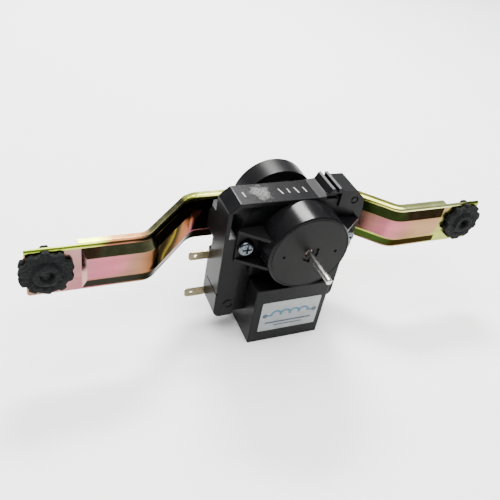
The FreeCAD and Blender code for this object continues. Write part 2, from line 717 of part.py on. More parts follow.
def strap_frame():
    side = -FRAME_SIDE_X
    inner = -(CORE_HALF_WIDTH + FRAME_FIT)
    top = CORE_TOP_Z + STRAP_WALL
    outer = [(side, FRAME_BOTTOM_Z), (side, SHOULDER_Z), (-SHOULDER_X, top)]
    outer += [(STRAP_END_X, top), (STRAP_END_X, CORE_TOP_Z)]
    slope = LEG_WALL / 2
    inside = [(slope - SHOULDER_X, CORE_TOP_Z), (side + LEG_WALL, SHOULDER_Z - slope)]
    inside += [(side + LEG_WALL, LEG_STEP_Z), (inner, LEG_STEP_Z), (inner, FRAME_BOTTOM_Z)]
    rounds = {0: LEG_CORNER, 1: SHOULDER_ROUND, 2: SHOULDER_ROUND}
    body = plate(outer + inside, FRAME_FRONT_Y, FRAME_BACK_Y, rounds)
    body = body.makeFillet(LEG_EDGE, outer_rims(body))
    low = FRAME_BOTTOM_Z - 1
    body = body.cut(box(side - 1, inner + 1, STACK_BACK_Y, FRAME_BACK_Y + 1, low, HOOK_BOTTOM_Z))
    lip = [(side + LEG_EDGE, FRAME_BOTTOM_Z), (side + LEG_EDGE, FRAME_LIP_TOP_Z)]
    lip += [(-FRAME_LIP_X, FRAME_LIP_TOP_Z), (-FRAME_LIP_X, FRAME_BOTTOM_Z)]
    body = body.fuse(plate(lip, FRAME_FRONT_Y, STACK_FRONT_Y, {0: LEG_CORNER - LEG_EDGE, 3: SHOULDER_ROUND}))
    boss = rod(EJECTOR_R, FRAME_FRONT_Y - EJECTOR_PROUD, STACK_FRONT_Y, EJECTOR_X, EJECTOR_Z)
    tongue_x = STRAP_END_X + TONGUE_LENGTH
    tongue_z = CORE_TOP_Z + TONGUE_THICK
    tongue = box(STRAP_END_X - 1, tongue_x, FRAME_FRONT_Y, FRAME_BACK_Y, CORE_TOP_Z, tongue_z)
    back = FRAME_BACK_Y + HOOK_DEPTH
    middle = STACK_BACK_Y - 1
    hook_points = [(side, middle), (side + HOOK_WIDTH, middle), (side + HOOK_WIDTH, back)]
    hook_points += [(side + HOOK_WIDTH / 2, back), (side, back - HOOK_WIDTH)]
    body = body.fuse([boss, tongue, slab(hook_points, HOOK_BOTTOM_Z, HOOK_TOP_Z)])
    seen = rod(EJECTOR_R - EJECTOR_RIM, FRAME_FRONT_Y - 1, FRAME_FRONT_Y, EJECTOR_X, EJECTOR_Z)
    groove_z = LEG_GROOVE_Z
    groove_top = groove_z + LEG_GROOVE
    groove = box(side - 1, side + LEG_GROOVE, FRAME_FRONT_Y - 1, FRAME_BACK_Y, groove_z, groove_top)
    upper = leg_pocket(groove_z + LEG_POCKET_END, HOOK_BOTTOM_Z - LEG_POCKET_RIB)
    lower = leg_pocket(FRAME_BOTTOM_Z + LEG_POCKET_END, groove_z + LEG_POCKET_END - LEG_POCKET_RIB)
    return body.cut([seen, groove, upper, lower] + ear_windows()).removeSplitter()


# The latch frame: the right shoulder with the ridges that catch the strap's tongue
def latch_outline():
    """The latch's section, with two ridges whose tops slant towards the strap."""
    top = CORE_TOP_Z + STRAP_WALL
    tongue_top = CORE_TOP_Z + TONGUE_THICK + TONGUE_ROOM
    points = [(LATCH_START_X, tongue_top), (LATCH_START_X, top), (LATCH_RAMP_X, top + LATCH_RAMP)]
    for index, x in enumerate(LATCH_RIDGE_X):
        if index:
            points.append((x, LATCH_VALLEY_Z))
        points += [(x, LATCH_RIDGE_Z - LATCH_RIDGE_SLANT), (x + LATCH_RIDGE, LATCH_RIDGE_Z)]
        if not index:
            points.append((x + LATCH_RIDGE, LATCH_VALLEY_Z))
    points += [(LATCH_FLAT_X, LATCH_FLAT_Z), (LATCH_SHOULDER_X, LATCH_FLAT_Z)]
    points += [(LATCH_SIDE_X - LATCH_SIDE_SLANT, LATCH_SIDE_TOP_Z), (LATCH_SIDE_X, LATCH_SIDE_KNEE_Z)]
    inner = CORE_HALF_WIDTH + FRAME_FIT
    points += [(LATCH_SIDE_X, LATCH_SIDE_BOTTOM_Z), (inner, LATCH_SIDE_BOTTOM_Z)]
    points += [(CORE_HALF_WIDTH + x, z) for x, z in LATCH_INNER_SLOPE]
    end = LATCH_START_X + TONGUE_LENGTH
    return points + [(end, CORE_TOP_Z), (end, tongue_top)]


def latch_frame():
    body = plate(latch_outline(), FRAME_FRONT_Y, FRAME_BACK_Y)
    side = LATCH_SIDE_X - LATCH_SIDE_SLANT / 2
    lip_z = LATCH_FLAT_Z - LATCH_LIP_DROP
    lip = [(LATCH_LIP_X, LATCH_SIDE_BOTTOM_Z), (LATCH_LIP_X, lip_z), (LATCH_SHOULDER_X, lip_z)]
    lip += [(side - LATCH_SIDE_SLANT, LATCH_SIDE_TOP_Z), (side, LATCH_SIDE_KNEE_Z)]
    lip.append((side, LATCH_SIDE_BOTTOM_Z))
    body = body.fuse(plate(lip, FRAME_FRONT_Y, STACK_FRONT_Y))
    front = FRAME_FRONT_Y - 1
    recess_x = LATCH_RIDGE_X[0] - LATCH_RECESS
    recess_z = LATCH_VALLEY_Z - LATCH_LIP_DROP
    hole_end = FRAME_FRONT_Y + LATCH_HOLE_DEPTH
    cuts = [tube(LATCH_HOLE_R, LATCH_PIN_R, FRAME_FRONT_Y, hole_end, LATCH_HOLE_X, LATCH_HOLE_Z)]
    cuts.append(box(recess_x, LATCH_LIP_X, front, FRAME_FRONT_Y + LATCH_RECESS, CORE_TOP_Z - 1, recess_z))
    cuts.append(rod(LATCH_ARC_R, front, STACK_FRONT_Y, LATCH_ARC_X, LATCH_ARC_Z))
    cuts.append(rod(CUP_R + FRAME_FIT, front, STACK_FRONT_Y))
    return body.cut(cuts + ear_windows()).removeSplitter()


# The coil: bobbin, winding, moulded cover, label and terminals
def around_bar(grow):
    """A box round the closing bar, grown on all four sides and as long as the cover."""
    y0 = STACK_FRONT_Y - grow
    y1 = STACK_BACK_Y + grow
    return box(-COVER_HALF_X - 1, COVER_HALF_X + 1, y0, y1, CORE_BOTTOM_Z - grow, BAR_TOP_Z + grow)


def slice_x(shape, x0, x1):
    return shape.common(box(x0, x1, -100, 100, -100, 100))


def cover_inside(room=0.0):
    wall = COVER_WALL + room
    x = COVER_HALF_X - wall
    y0 = COVER_FRONT_Y + wall
    y1 = COVER_BACK_Y - wall
    return box(-x, x, y0, y1, COVER_BOTTOM_Z + wall, COVER_TOP_Z - wall)


def coil_bobbin():
    end = COVER_HALF_X - COVER_WALL - SEAT_FIT
    bobbin_tube = slice_x(around_bar(BOBBIN_FIT + BOBBIN_WALL), -end, end)
    block = cover_inside(FLANGE_FIT)
    left = slice_x(block, -end, -end + FLANGE_THICK)
    right = slice_x(block, end - FLANGE_THICK, end)
    return bobbin_tube.fuse([left, right]).cut(around_bar(BOBBIN_FIT)).removeSplitter()


def coil_winding():
    end = COVER_HALF_X - COVER_WALL - SEAT_FIT - FLANGE_THICK
    block = slice_x(around_bar(BOBBIN_FIT + BOBBIN_WALL + WINDING_DEPTH), -end, end)
    along = [e for e in block.Edges if abs(e.BoundBox.XLength - 2 * end) < 0.01]
    block = block.makeFillet(WINDING_CORNER, along)
    return block.cut(around_bar(BOBBIN_FIT + BOBBIN_WALL))


def coil_cover():
    x = COVER_HALF_X
    shell = box(-x, x, COVER_FRONT_Y, COVER_BACK_Y, COVER_BOTTOM_Z, COVER_TOP_Z)
    shell = shell.makeFillet(COVER_EDGE, shell.Edges)
    return shell.cut([cover_inside(), around_bar(BOBBIN_FIT)])


def coil_label():
    x0 = LABEL_X - LABEL_WIDTH / 2
    z0 = LABEL_Z - LABEL_HEIGHT / 2
    x1 = x0 + LABEL_WIDTH
    z1 = z0 + LABEL_HEIGHT
    radii = {index: LABEL_CORNER for index in range(4)}
    corners = [(x0, z0), (x1, z0), (x1, z1), (x0, z1)]
    return plate(corners, COVER_FRONT_Y - LABEL_THICK, COVER_FRONT_Y, radii)


def terminal(z):
    half = TERMINAL_WIDTH / 2
    tip = TERMINAL_TIP_X
    points = [(tip, z - half + TERMINAL_TAPER), (tip, z + half - TERMINAL_TAPER)]
    neck = half * TERMINAL_NECK
    side = -FRAME_SIDE_X
    points += [(tip + TERMINAL_TAPER, z + half), (side, z + half), (side, z + neck)]
    points += [(TERMINAL_ROOT_X, z + neck), (TERMINAL_ROOT_X, z - neck)]
    points += [(side, z - neck), (side, z - half), (tip + TERMINAL_TAPER, z - half)]
    y0 = TERMINAL_Y - TERMINAL_THICK / 2
    tab = plate(points, y0, y0 + TERMINAL_THICK)
    return tab.cut(rod(TERMINAL_HOLE_R, y0 - 1, y0 + 2, tip + TERMINAL_HOLE_FROM_TIP, z))


def terminal_block():
    side = -FRAME_SIDE_X
    edge = -COVER_HALF_X
    column = side + BLOCK_COLUMN
    points = [(side, FRAME_BOTTOM_Z), (side, BLOCK_TOP_Z), (column, BLOCK_TOP_Z), (column, BLOCK_FOOT_Z)]
    points += [(edge, BLOCK_FOOT_Z), (edge, FRAME_BOTTOM_Z)]
    rounds = {0: LEG_CORNER, 1: BLOCK_CORNER}
    block = plate(points, STACK_BACK_Y, STACK_BACK_Y + BLOCK_THICK, rounds)
    return block.cut([terminal(z) for z in TERMINAL_Z])


# The strap bracket: one folded strip of sheet steel with a raised rib along its middle
def strip_route(end_x):
    points = [(-end_x, ARM_Y), (-ARM_BEND_X, ARM_Y), (-CENTRE_BEND_X, CENTRE_Y)]
    points += [(CENTRE_BEND_X, CENTRE_Y), (ARM_BEND_X, ARM_Y), (end_x, ARM_Y)]
    corners = [V(x, y, 0) for x, y in points]
    bends = {1: BEND_R, 2: BEND_R, 3: BEND_R, 4: BEND_R}
    return Part.Wire(rounded_edges(corners, bends, closed=False))


def swept(section, radii, end_x):
    """Sweep a section, given as depth behind the strip's face and height, along the strip."""
    corners = [V(-end_x, ARM_Y + depth, z) for depth, z in section]
    shell = Part.BRepOffsetAPI.MakePipeShell(strip_route(end_x))
    shell.setBiNormalMode(V(0, 0, 1))
    shell.add(Part.Wire(rounded_edges(corners, radii)))
    shell.build()
    shell.makeSolid()
    return shell.shape()


def rib(depth, end_x):
    """The raised rib's solid, with sloping ends; depth shifts it back for the hollow behind it."""
    foot_top, foot_bottom = RIB_FOOT_Z
    crest_top, crest_bottom = RIB_CREST_Z
    crest = depth - RIB_HEIGHT
    base = depth + 0.4
    section = [(base, foot_top), (depth, foot_top), (crest, crest_top), (crest, crest_bottom)]
    section += [(depth, foot_bottom), (base, foot_bottom)]
    solid = swept(section, {2: RIB_ROUND, 3: RIB_ROUND}, end_x)
    y = ARM_Y + depth
    points = [(end_x, y + 1), (end_x, y), (end_x - RIB_HEIGHT, y - RIB_HEIGHT), (end_x - RIB_HEIGHT, y - 10)]
    points += [(end_x + 10, y - 10), (end_x + 10, y + 1)]
    end = slab(points, STRIP_BOTTOM_Z - 1, STRIP_TOP_Z + 1)
    return solid.cut([end, mirrored(end)])


def mounting_bracket():
    top = STRIP_TOP_Z
    section = [(0, top), (0, STRIP_BOTTOM_Z), (SHEET, STRIP_BOTTOM_Z), (SHEET, top - SHEET)]
    section += [(STRIP_FLANGE, top - SHEET), (STRIP_FLANGE, top)]
    strip = swept(section, {0: STRIP_FOLD_R, 3: STRIP_FOLD_R - SHEET}, PAD_END_X)
    strip = strip.fuse(rib(0.0, RIB_END_X)).cut(rib(SHEET, RIB_END_X))
    cuts = []
    for sign in (-1, 1):
        x0, x1 = sorted((sign * FLANGE_END_X, sign * (PAD_END_X + 1)))
        cuts.append(box(x0, x1, ARM_Y + SHEET, ARM_Y + STRIP_FLANGE + 1, top - STRIP_FOLD_R - 1, top + 1))
        seat_r = GROMMET_SEAT_R
        cuts.append(rod(seat_r, ARM_Y - 1, ARM_Y + SHEET + 1, sign * GROMMET_X, GROMMET_Z))
        hole_r = BRACKET_SCREW_SHANK_R + BRACKET_HOLE_FIT
        cuts.append(rod(hole_r, STANDOFF_END_Y - 1, CENTRE_Y + 2, sign * BRACKET_SCREW_X, BRACKET_SCREW_Z))
    strip = strip.cut(cuts)
    ends = [e for e in strip.Edges if abs(abs(e.CenterOfMass.x) - PAD_END_X) < 0.01]
    ends = [e for e in ends if e.BoundBox.YLength < SHEET + 0.01 and e.BoundBox.ZLength < 0.01]
    low = [e for e in ends if e.CenterOfMass.z < STRIP_BOTTOM_Z + 0.5]
    return strip.makeFillet(PAD_CORNER, low).removeSplitter()


# A moulded rubber grommet: toothed flanges in front of and behind the pad, a neck and a ring
def toothed_disc(x, y0, y1, turn):
    pitch = 360.0 / GROMMET_TEETH
    points = []
    root = (TOOTH_ROOT_SHARE, GROMMET_ROOT_R)
    tip = (TOOTH_TIP_SHARE, GROMMET_TIP_R)
    radii = {}
    for index in range(GROMMET_TEETH):
        middle = index * pitch + turn
        for sign, (share, radius) in ((-1, root), (-1, tip), (1, tip), (1, root)):
            dx, dz = polar(radius, middle + sign * share * pitch)
            if radius == GROMMET_TIP_R:
                radii[len(points)] = TOOTH_ROUND
            points.append((x + dx, GROMMET_Z + dz))
    return plate(points, y0, y1, radii)


def grommet(sign):
    x = sign * GROMMET_X
    front = ARM_Y - GROMMET_FRONT
    back = ARM_Y + SHEET
    solids = [rod(GROMMET_SEAT_R - GROMMET_FIT, ARM_Y, back, x, GROMMET_Z)]
    solids.append(toothed_disc(x, back, back + GROMMET_BACK, 9.0))
    solids.append(rod(GROMMET_RING_R, front - GROMMET_RING, front, x, GROMMET_Z))
    body = toothed_disc(x, front, ARM_Y, 0.0).fuse(solids)
    bore = rod(GROMMET_BORE_R, front - GROMMET_RING - 1, back + GROMMET_BACK + 1, x, GROMMET_Z)
    return body.cut(bore).removeSplitter()


PARTS = {
    "shaft": shaft,
    "rotor_core": rotor_core,
    "rotor_cage": rotor_cage,
    "rotor_spacer_front": rotor_spacer_front,
    "rotor_spacer_rear": rotor_spacer_rear,
    "thrust_washer_front": thrust_washer_front,
    "thrust_washer_rear": thrust_washer_rear,
    "stator_core": stator_core,
    "core_bar": core_bar,
    "shading_ring_left": lambda: shading_ring(-1),
    "shading_ring_right": lambda: shading_ring(1),
    "coil_bobbin": coil_bobbin,
    "coil_winding": coil_winding,
    "coil_cover": coil_cover,
    "coil_label": coil_label,
    "terminal_block": terminal_block,
    "terminal_upper": lambda: terminal(TERMINAL_Z[0]),
    "terminal_lower": lambda: terminal(TERMINAL_Z[1]),
    "front_housing": front_housing,
    "front_bearing": lambda: bearing_bush(0, 1),
    "front_bearing_clip": lambda: bearing_clip(0, 1),
    "front_oil_felt": lambda: oil_felt(0, 1),
    "rear_housing": rear_housing,
    "rear_bearing": lambda: bearing_bush(REAR_FACE_Y, -1),
    "rear_bearing_clip": lambda: bearing_clip(REAR_FACE_Y, -1),
    "rear_oil_felt": lambda: oil_felt(REAR_FACE_Y, -1),
    "rear_cap": rear_cap,
    "strap_frame": strap_frame,
    "latch_frame": latch_frame,
    "mounting_bracket": mounting_bracket,
    "grommet_left": lambda: grommet(-1),
    "grommet_right": lambda: grommet(1),
    "clamp_screw_left": lambda: clamp_screw(-1),
    "clamp_screw_right": lambda: clamp_screw(1),
    "clamp_nut_left": lambda: clamp_nut(-1),
    "clamp_nut_right": lambda: clamp_nut(1),
    "bracket_screw_left": lambda: bracket_screw(-1),
    "bracket_screw_right": lambda: bracket_screw(1),
}


os.makedirs("parts", exist_ok=True)
for name, make in PARTS.items():
    shape = make()
    if shape.ShapeType == "Compound" and len(shape.Solids) == 1:
        shape = shape.Solids[0]
    box_ = shape.BoundBox
    print(f"{name:22s} solids {len(shape.Solids)} valid {shape.isValid()} volume {shape.Volume:9.1f}"
          f" x {box_.XMin:7.2f} {box_.XMax:7.2f} y {box_.YMin:6.2f} {box_.YMax:6.2f}"
          f" z {box_.ZMin:6.2f} {box_.ZMax:6.2f}")
    shape.exportStep(f"parts/{name}.step")
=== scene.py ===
"""Looks of a freezer fan motor on its strap bracket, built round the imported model."""
import math

import bmesh
import bpy
from mathutils import Matrix, Vector, noise


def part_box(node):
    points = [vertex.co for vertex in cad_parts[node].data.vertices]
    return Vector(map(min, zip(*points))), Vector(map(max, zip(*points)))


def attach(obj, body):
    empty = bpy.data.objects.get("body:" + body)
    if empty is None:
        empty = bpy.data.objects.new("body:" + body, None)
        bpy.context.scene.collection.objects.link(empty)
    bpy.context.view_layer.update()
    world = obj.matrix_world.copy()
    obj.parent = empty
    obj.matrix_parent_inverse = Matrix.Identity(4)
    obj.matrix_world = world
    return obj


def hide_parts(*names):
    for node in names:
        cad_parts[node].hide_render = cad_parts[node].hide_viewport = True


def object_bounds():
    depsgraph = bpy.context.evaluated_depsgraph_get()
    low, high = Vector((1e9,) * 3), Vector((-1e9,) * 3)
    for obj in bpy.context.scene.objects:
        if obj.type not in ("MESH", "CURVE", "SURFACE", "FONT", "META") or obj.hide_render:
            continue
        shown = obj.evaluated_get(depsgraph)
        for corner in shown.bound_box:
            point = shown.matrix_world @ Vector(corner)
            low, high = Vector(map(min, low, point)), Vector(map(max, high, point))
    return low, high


bl_info = {
    "name": "Freezer Fan Motor",
    "version": (1, 0, 0),
    "blender": (4, 5, 0),
    "location": "3D View > Sidebar > Fan Motor",
    "description": "Finishes and small parts of a shaded-pole freezer fan motor on a strap bracket",
    "category": "Object",
}

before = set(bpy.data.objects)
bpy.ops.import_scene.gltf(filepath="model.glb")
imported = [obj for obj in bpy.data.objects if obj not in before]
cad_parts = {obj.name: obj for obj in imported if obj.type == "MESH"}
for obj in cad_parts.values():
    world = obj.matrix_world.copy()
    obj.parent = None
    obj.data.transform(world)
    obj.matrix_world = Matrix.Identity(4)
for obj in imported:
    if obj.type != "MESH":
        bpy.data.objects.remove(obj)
CAD_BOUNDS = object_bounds()
MM = 0.001


def linear(code):
    """Linear colour, with full opacity, of an sRGB hex value."""
    parts = [int(code[index:index + 2], 16) / 255 for index in (1, 3, 5)]
    return (*(part / 12.92 if part <= 0.04045 else ((part + 0.055) / 1.055) ** 2.4 for part in parts), 1.0)


def shade(colour, factor):
    """The same colour made lighter or darker."""
    return (*(part * factor for part in tuple(colour)[:3]), 1.0)


def per_mm(size_mm):
    """Texture scale that gives features of this size, because the textures run in metres."""
    return 1 / (size_mm * MM)


class FanMotorSizes(bpy.types.PropertyGroup):
    """Sizes that belong to the looks: patterns in millimetres, grommet teeth and wear in metres"""
    lamination_mm: bpy.props.FloatProperty(
        name="Lamination pitch", description="Drawn thickness of one lamination of the stack, in millimetres",
        default=1.0)
    # Real mould grain is nearer a tenth of a millimetre; it is drawn coarser so that the picture can hold it.
    grain_mm: bpy.props.FloatProperty(
        name="Mould grain", description="Grain of the eroded mould on the black plastics, in millimetres",
        default=0.5)
    chromate_mm: bpy.props.FloatProperty(
        name="Chromate cloud", description="Length of one cloud of colour in the chromate, in millimetres",
        default=34.0)
    grommet_teeth: bpy.props.IntProperty(
        name="Grommet teeth", description="Teeth round each rubber grommet", default=10, min=6, max=16)
    tooth_height: bpy.props.FloatProperty(
        name="Tooth height", description="Height of a grommet tooth over its root", default=0.0018,
        unit="LENGTH")
    grommet_wear: bpy.props.FloatProperty(
        name="Grommet wear", description="How far the worn rubber dips below its moulded form",
        default=0.0004, unit="LENGTH")


class FanMotorColours(bpy.types.PropertyGroup):
    """Main colours of the motor, each at its palest"""
    housing: bpy.props.FloatVectorProperty(
        name="Housing", description="Black of the cups", subtype="COLOR", size=4, default=linear("#0c0c0d"))
    moulding: bpy.props.FloatVectorProperty(
        name="Moulding", description="Black of the strap, legs and coil cover", subtype="COLOR", size=4,
        default=linear("#0c0c0d"))
    core_paint: bpy.props.FloatVectorProperty(
        name="Core paint", description="Black dip paint of the laminations", subtype="COLOR", size=4,
        default=linear("#0b0b0c"))
    rubber: bpy.props.FloatVectorProperty(
        name="Rubber", description="Dusty black rubber of the grommets", subtype="COLOR", size=4,
        default=linear("#151617"))
    tab: bpy.props.FloatVectorProperty(
        name="Tab tin", description="Warm tin plate of the push-on tabs", subtype="COLOR", size=4,
        default=linear("#8f8468"))
    label: bpy.props.FloatVectorProperty(
        name="Label film", description="Silver-white label", subtype="COLOR", size=4,
        default=linear("#8b8e8f"))
    label_print: bpy.props.FloatVectorProperty(
        name="Label print", description="Blue of the label's plain pattern", subtype="COLOR", size=4,
        default=linear("#1f6480"))


def add(tree, kind, inputs=(), output=0, stops=(), **settings):
    """Add a node with its settings, set or link its inputs by order or by name, and return one output."""
    made = tree.nodes.new("ShaderNode" + kind)
    for name, value in settings.items():
        setattr(made, name, value)
    for socket, source in inputs.items() if isinstance(inputs, dict) else enumerate(inputs):
        if isinstance(source, bpy.types.NodeSocket):
            tree.links.new(source, made.inputs[socket])
        else:
            made.inputs[socket].default_value = source
    for index, (place, colour) in enumerate(stops):
        elements = made.color_ramp.elements
        element = elements[index] if index < len(elements) else elements.new(place)
        element.position = place
        element.color = colour
    return made.outputs[output]


def start_material(name, **sockets):
    """A new material with its shader's plain sockets set; returns material, node tree and shader inputs."""
    material = bpy.data.materials.new(name)
    material.use_nodes = True
    tree = material.node_tree
    shader = tree.nodes["Principled BSDF"].inputs
    for socket, value in sockets.items():
        shader[socket.replace("_", " ")].default_value = value
    return material, tree, shader


def clouds(tree, size_mm, low, high, detail=2.0, stretch=(1, 1, 1), offset=(0, 0, 0)):
    """Noise with features of size_mm, spread between low and high."""
    place = add(tree, "TexCoord", output="Object")
    moved = add(tree, "Mapping", {"Vector": place, "Location": offset, "Scale": stretch})
    field = add(tree, "TexNoise", {"Vector": moved, "Scale": per_mm(size_mm), "Detail": detail})
    return add(tree, "MapRange", (field, 0.3, 0.7, low, high))


def two_tones(tree, size_mm, dark, light, detail=3.0, stretch=(1, 1, 1)):
    """Clouds of two close colours."""
    share = clouds(tree, size_mm, 0.0, 1.0, detail, stretch)
    return add(tree, "Mix", {0: share, 6: dark, 7: light}, 2, data_type="RGBA")


def raise_surface(tree, shader, height, depth_mm):
    """Fine relief of depth_mm over the whole surface."""
    bump = add(tree, "Bump", {"Height": height, "Distance": depth_mm * MM, "Strength": 1.0})
    tree.links.new(bump, shader["Normal"])


def xyz(tree, kind="TexCoord", output="Object"):
    """X, Y and Z of the object's own coordinates, or of another vector."""
    return add(tree, "SeparateXYZ", (add(tree, kind, output=output),)).node.outputs


# Edge of a window that has no limit on that side
OPEN = 2.0
# Part of a face's normal along an axis from which the face counts as facing that way
FACING = 0.9


def window(tree, value, low, high, soft):
    """1 where value lies between low and high, with soft edges."""
    rising = add(tree, "MapRange", (value, low - soft, low + soft))
    falling = add(tree, "MapRange", (value, high - soft, high + soft, 1.0, 0.0))
    return add(tree, "Math", (rising, falling), operation="MULTIPLY")


def ring(tree, centre, inner, outer, soft):
    """1 between two radii round a point, with soft edges."""
    place = add(tree, "TexCoord", output="Object")
    far = add(tree, "VectorMath", (place, centre), "Value", operation="DISTANCE")
    return window(tree, far, inner, outer, soft)


def satin_abs(colours, sizes, name, wall):
    """Black ABS: a glossy wall that gives the cup its long, warm highlight, and a duller, grained face."""
    material, tree, shader = start_material(
        name, IOR=1.53, Specular_IOR_Level=0.085, Specular_Tint=(1.0, 0.99, 0.95, 1.0))
    tree.links.new(two_tones(tree, 9.0, colours.housing, shade(colours.housing, 1.4)), shader["Base Color"])
    facing = add(tree, "Math", (xyz(tree, "NewGeometry", "Normal")["Y"],), operation="ABSOLUTE")
    haze = clouds(tree, 10.0, 0.0, 0.05, 3.0)
    rough = add(tree, "MapRange", (window(tree, facing, FACING, OPEN, 0.04), 0.0, 1.0, wall, 0.38))
    tree.links.new(add(tree, "Math", (rough, haze), operation="ADD"), shader["Roughness"])
    raise_surface(tree, shader, clouds(tree, sizes.grain_mm, 0.0, 1.0), 0.002)
    return material


def moulded_nylon(colours, sizes, name="moulded_black_nylon", marked=False):
    """Black glass-filled nylon: matt and grained, shinier on its sides and on the strap's rubbed top."""
    material, tree, shader = start_material(name, IOR=1.53, Specular_IOR_Level=0.085)
    base = two_tones(tree, 7.0, colours.moulding, shade(colours.moulding, 1.5))
    if marked:
        base = add(tree, "Mix", {0: strap_marks(tree), 6: base, 7: linear(STROKE_PAINT)}, 2, data_type="RGBA")
    tree.links.new(base, shader["Base Color"])
    top = window(tree, xyz(tree, "NewGeometry", "Normal")["Z"], FACING, OPEN, 0.04)
    rough = add(tree, "MapRange", (top, 0.0, 1.0, 0.33, 0.27 if marked else 0.38))
    haze = clouds(tree, 14.0, -0.015, 0.015, 3.0)
    tree.links.new(add(tree, "Math", (rough, haze), operation="ADD"), shader["Roughness"])
    raise_surface(tree, shader, clouds(tree, sizes.grain_mm, 0.0, 1.0), 0.003)
    return material


# Plain paint strokes on the strap: place along X and length along Y in millimetres, and lean
STROKES = ((-27.2, 3.6, 0.10), (-9.4, 4.2, 0.22), (-5.6, 3.4, 0.05), (-1.6, 4.4, 0.18), (2.6, 3.8, 0.10))
STROKE_MIDDLE_Y = 21.4
STROKE_WIDTH = 0.5
STROKE_PAINT = "#b4b4b1"
RUBBED_SPOT = (-18.8, 21.6)
RUBBED_SIZE = 5.6
FLAKE_MM = 0.5


def strap_marks(tree):
    """Thin paint strokes and a finely rubbed patch on the strap's top."""
    place = xyz(tree)
    point = add(tree, "TexCoord", output="Object")
    strokes = 0.0
    for x_mm, length, lean in STROKES:
        along_x = add(tree, "VectorMath", (point, (1.0, lean, 0.0)), "Value", operation="DOT_PRODUCT")
        middle = x_mm + lean * STROKE_MIDDLE_Y
        low, high = (middle - STROKE_WIDTH / 2) * MM, (middle + STROKE_WIDTH / 2) * MM
        near, far = (STROKE_MIDDLE_Y - length / 2) * MM, (STROKE_MIDDLE_Y + length / 2) * MM
        sides = window(tree, along_x, low, high, 0.12 * MM)
        ends = window(tree, place["Y"], near, far, 0.15 * MM)
        stroke = add(tree, "Math", (sides, ends), operation="MULTIPLY")
        strokes = add(tree, "Math", (strokes, stroke), operation="MAXIMUM")
    chipped = window(tree, clouds(tree, FLAKE_MM, 0.0, 1.0, 3.0), 0.3, OPEN, 0.2)
    strokes = add(tree, "Math", (strokes, chipped), operation="MULTIPLY")
    dx = add(tree, "Math", (place["X"], RUBBED_SPOT[0] * MM), operation="SUBTRACT")
    dy = add(tree, "Math", (place["Y"], RUBBED_SPOT[1] * MM), operation="SUBTRACT")
    away = add(tree, "VectorMath", (add(tree, "CombineXYZ", (dx, dy)),), "Value", operation="LENGTH")
    ragged = add(tree, "Math", (away, clouds(tree, 3.0, -2.0 * MM, 2.0 * MM, 3.0)), operation="ADD")
    patch = add(tree, "MapRange", (ragged, RUBBED_SIZE * 0.4 * MM, RUBBED_SIZE * MM, 0.4, 0.0))
    speckle = window(tree, clouds(tree, FLAKE_MM, 0.0, 1.0, 4.0), 0.5, OPEN, 0.2)
    rubbed = add(tree, "Math", (patch, speckle), operation="MULTIPLY")
    marks = add(tree, "Math", (strokes, rubbed), operation="MAXIMUM")
    top = window(tree, xyz(tree, "NewGeometry", "Normal")["Z"], FACING, OPEN, 0.02)
    return add(tree, "Math", (marks, top), operation="MULTIPLY")


def painted_laminations(colours, sizes):
    """Black dip paint over stamped steel sheets: the edges of the sheets show as fine grooves."""
    material, tree, shader = start_material("black_painted_laminations", IOR=1.5, Specular_IOR_Level=0.12)
    # The real sheets are half a millimetre thick; they are drawn coarser so that the lines show.
    turns = add(tree, "Math", (xyz(tree)["Y"], math.pi / (sizes.lamination_mm * MM)), operation="MULTIPLY")
    wave = add(tree, "Math", (add(tree, "Math", (turns,), operation="COSINE"),), operation="ABSOLUTE")
    line = add(tree, "Math", (wave, 6.0), operation="POWER")
    base = two_tones(tree, 5.0, colours.core_paint, shade(colours.core_paint, 1.8))
    darker = add(tree, "Mix", {0: line, 6: base, 7: shade(colours.core_paint, 0.5)}, 2, data_type="RGBA")
    tree.links.new(darker, shader["Base Color"])
    tree.links.new(clouds(tree, 2.0, 0.3, 0.5, 3.0), shader["Roughness"])
    height = add(tree, "Math", (clouds(tree, 0.9, 0.0, 0.35, 3.0), line), operation="SUBTRACT")
    raise_surface(tree, shader, height, 0.08)
    return material


# Hues that yellow chromate takes as its film thickens, and darker and paler ones for the painted shade, dark
# reflection and highlights of the rib's slopes, folds and flange
ROSE = "#985a62"
PETAL = "#a07c78"
BLUSH = "#8a6a66"
CLAY = "#7c5e4e"
TAN = "#8c6e54"
AMBER = "#8a6340"
SEPIA = "#6c4e34"
COPPER = "#a06a48"
GOLD = "#8c7836"
STRAW = "#bcc060"
PALE_STRAW = "#dde3a0"
LIME = "#a2b44a"
SAGE = "#8e9450"
OLIVE = "#666e30"
DARK_OLIVE = "#191910"
LEAF = "#596b3a"
MOSS = "#2a3819"
SLATE = "#565841"
GRAPHITE = "#232320"
BRONZE = "#4c3e2c"
UMBER = "#20180e"
PLUM = "#3a302e"
SOOT = "#0e0b0d"
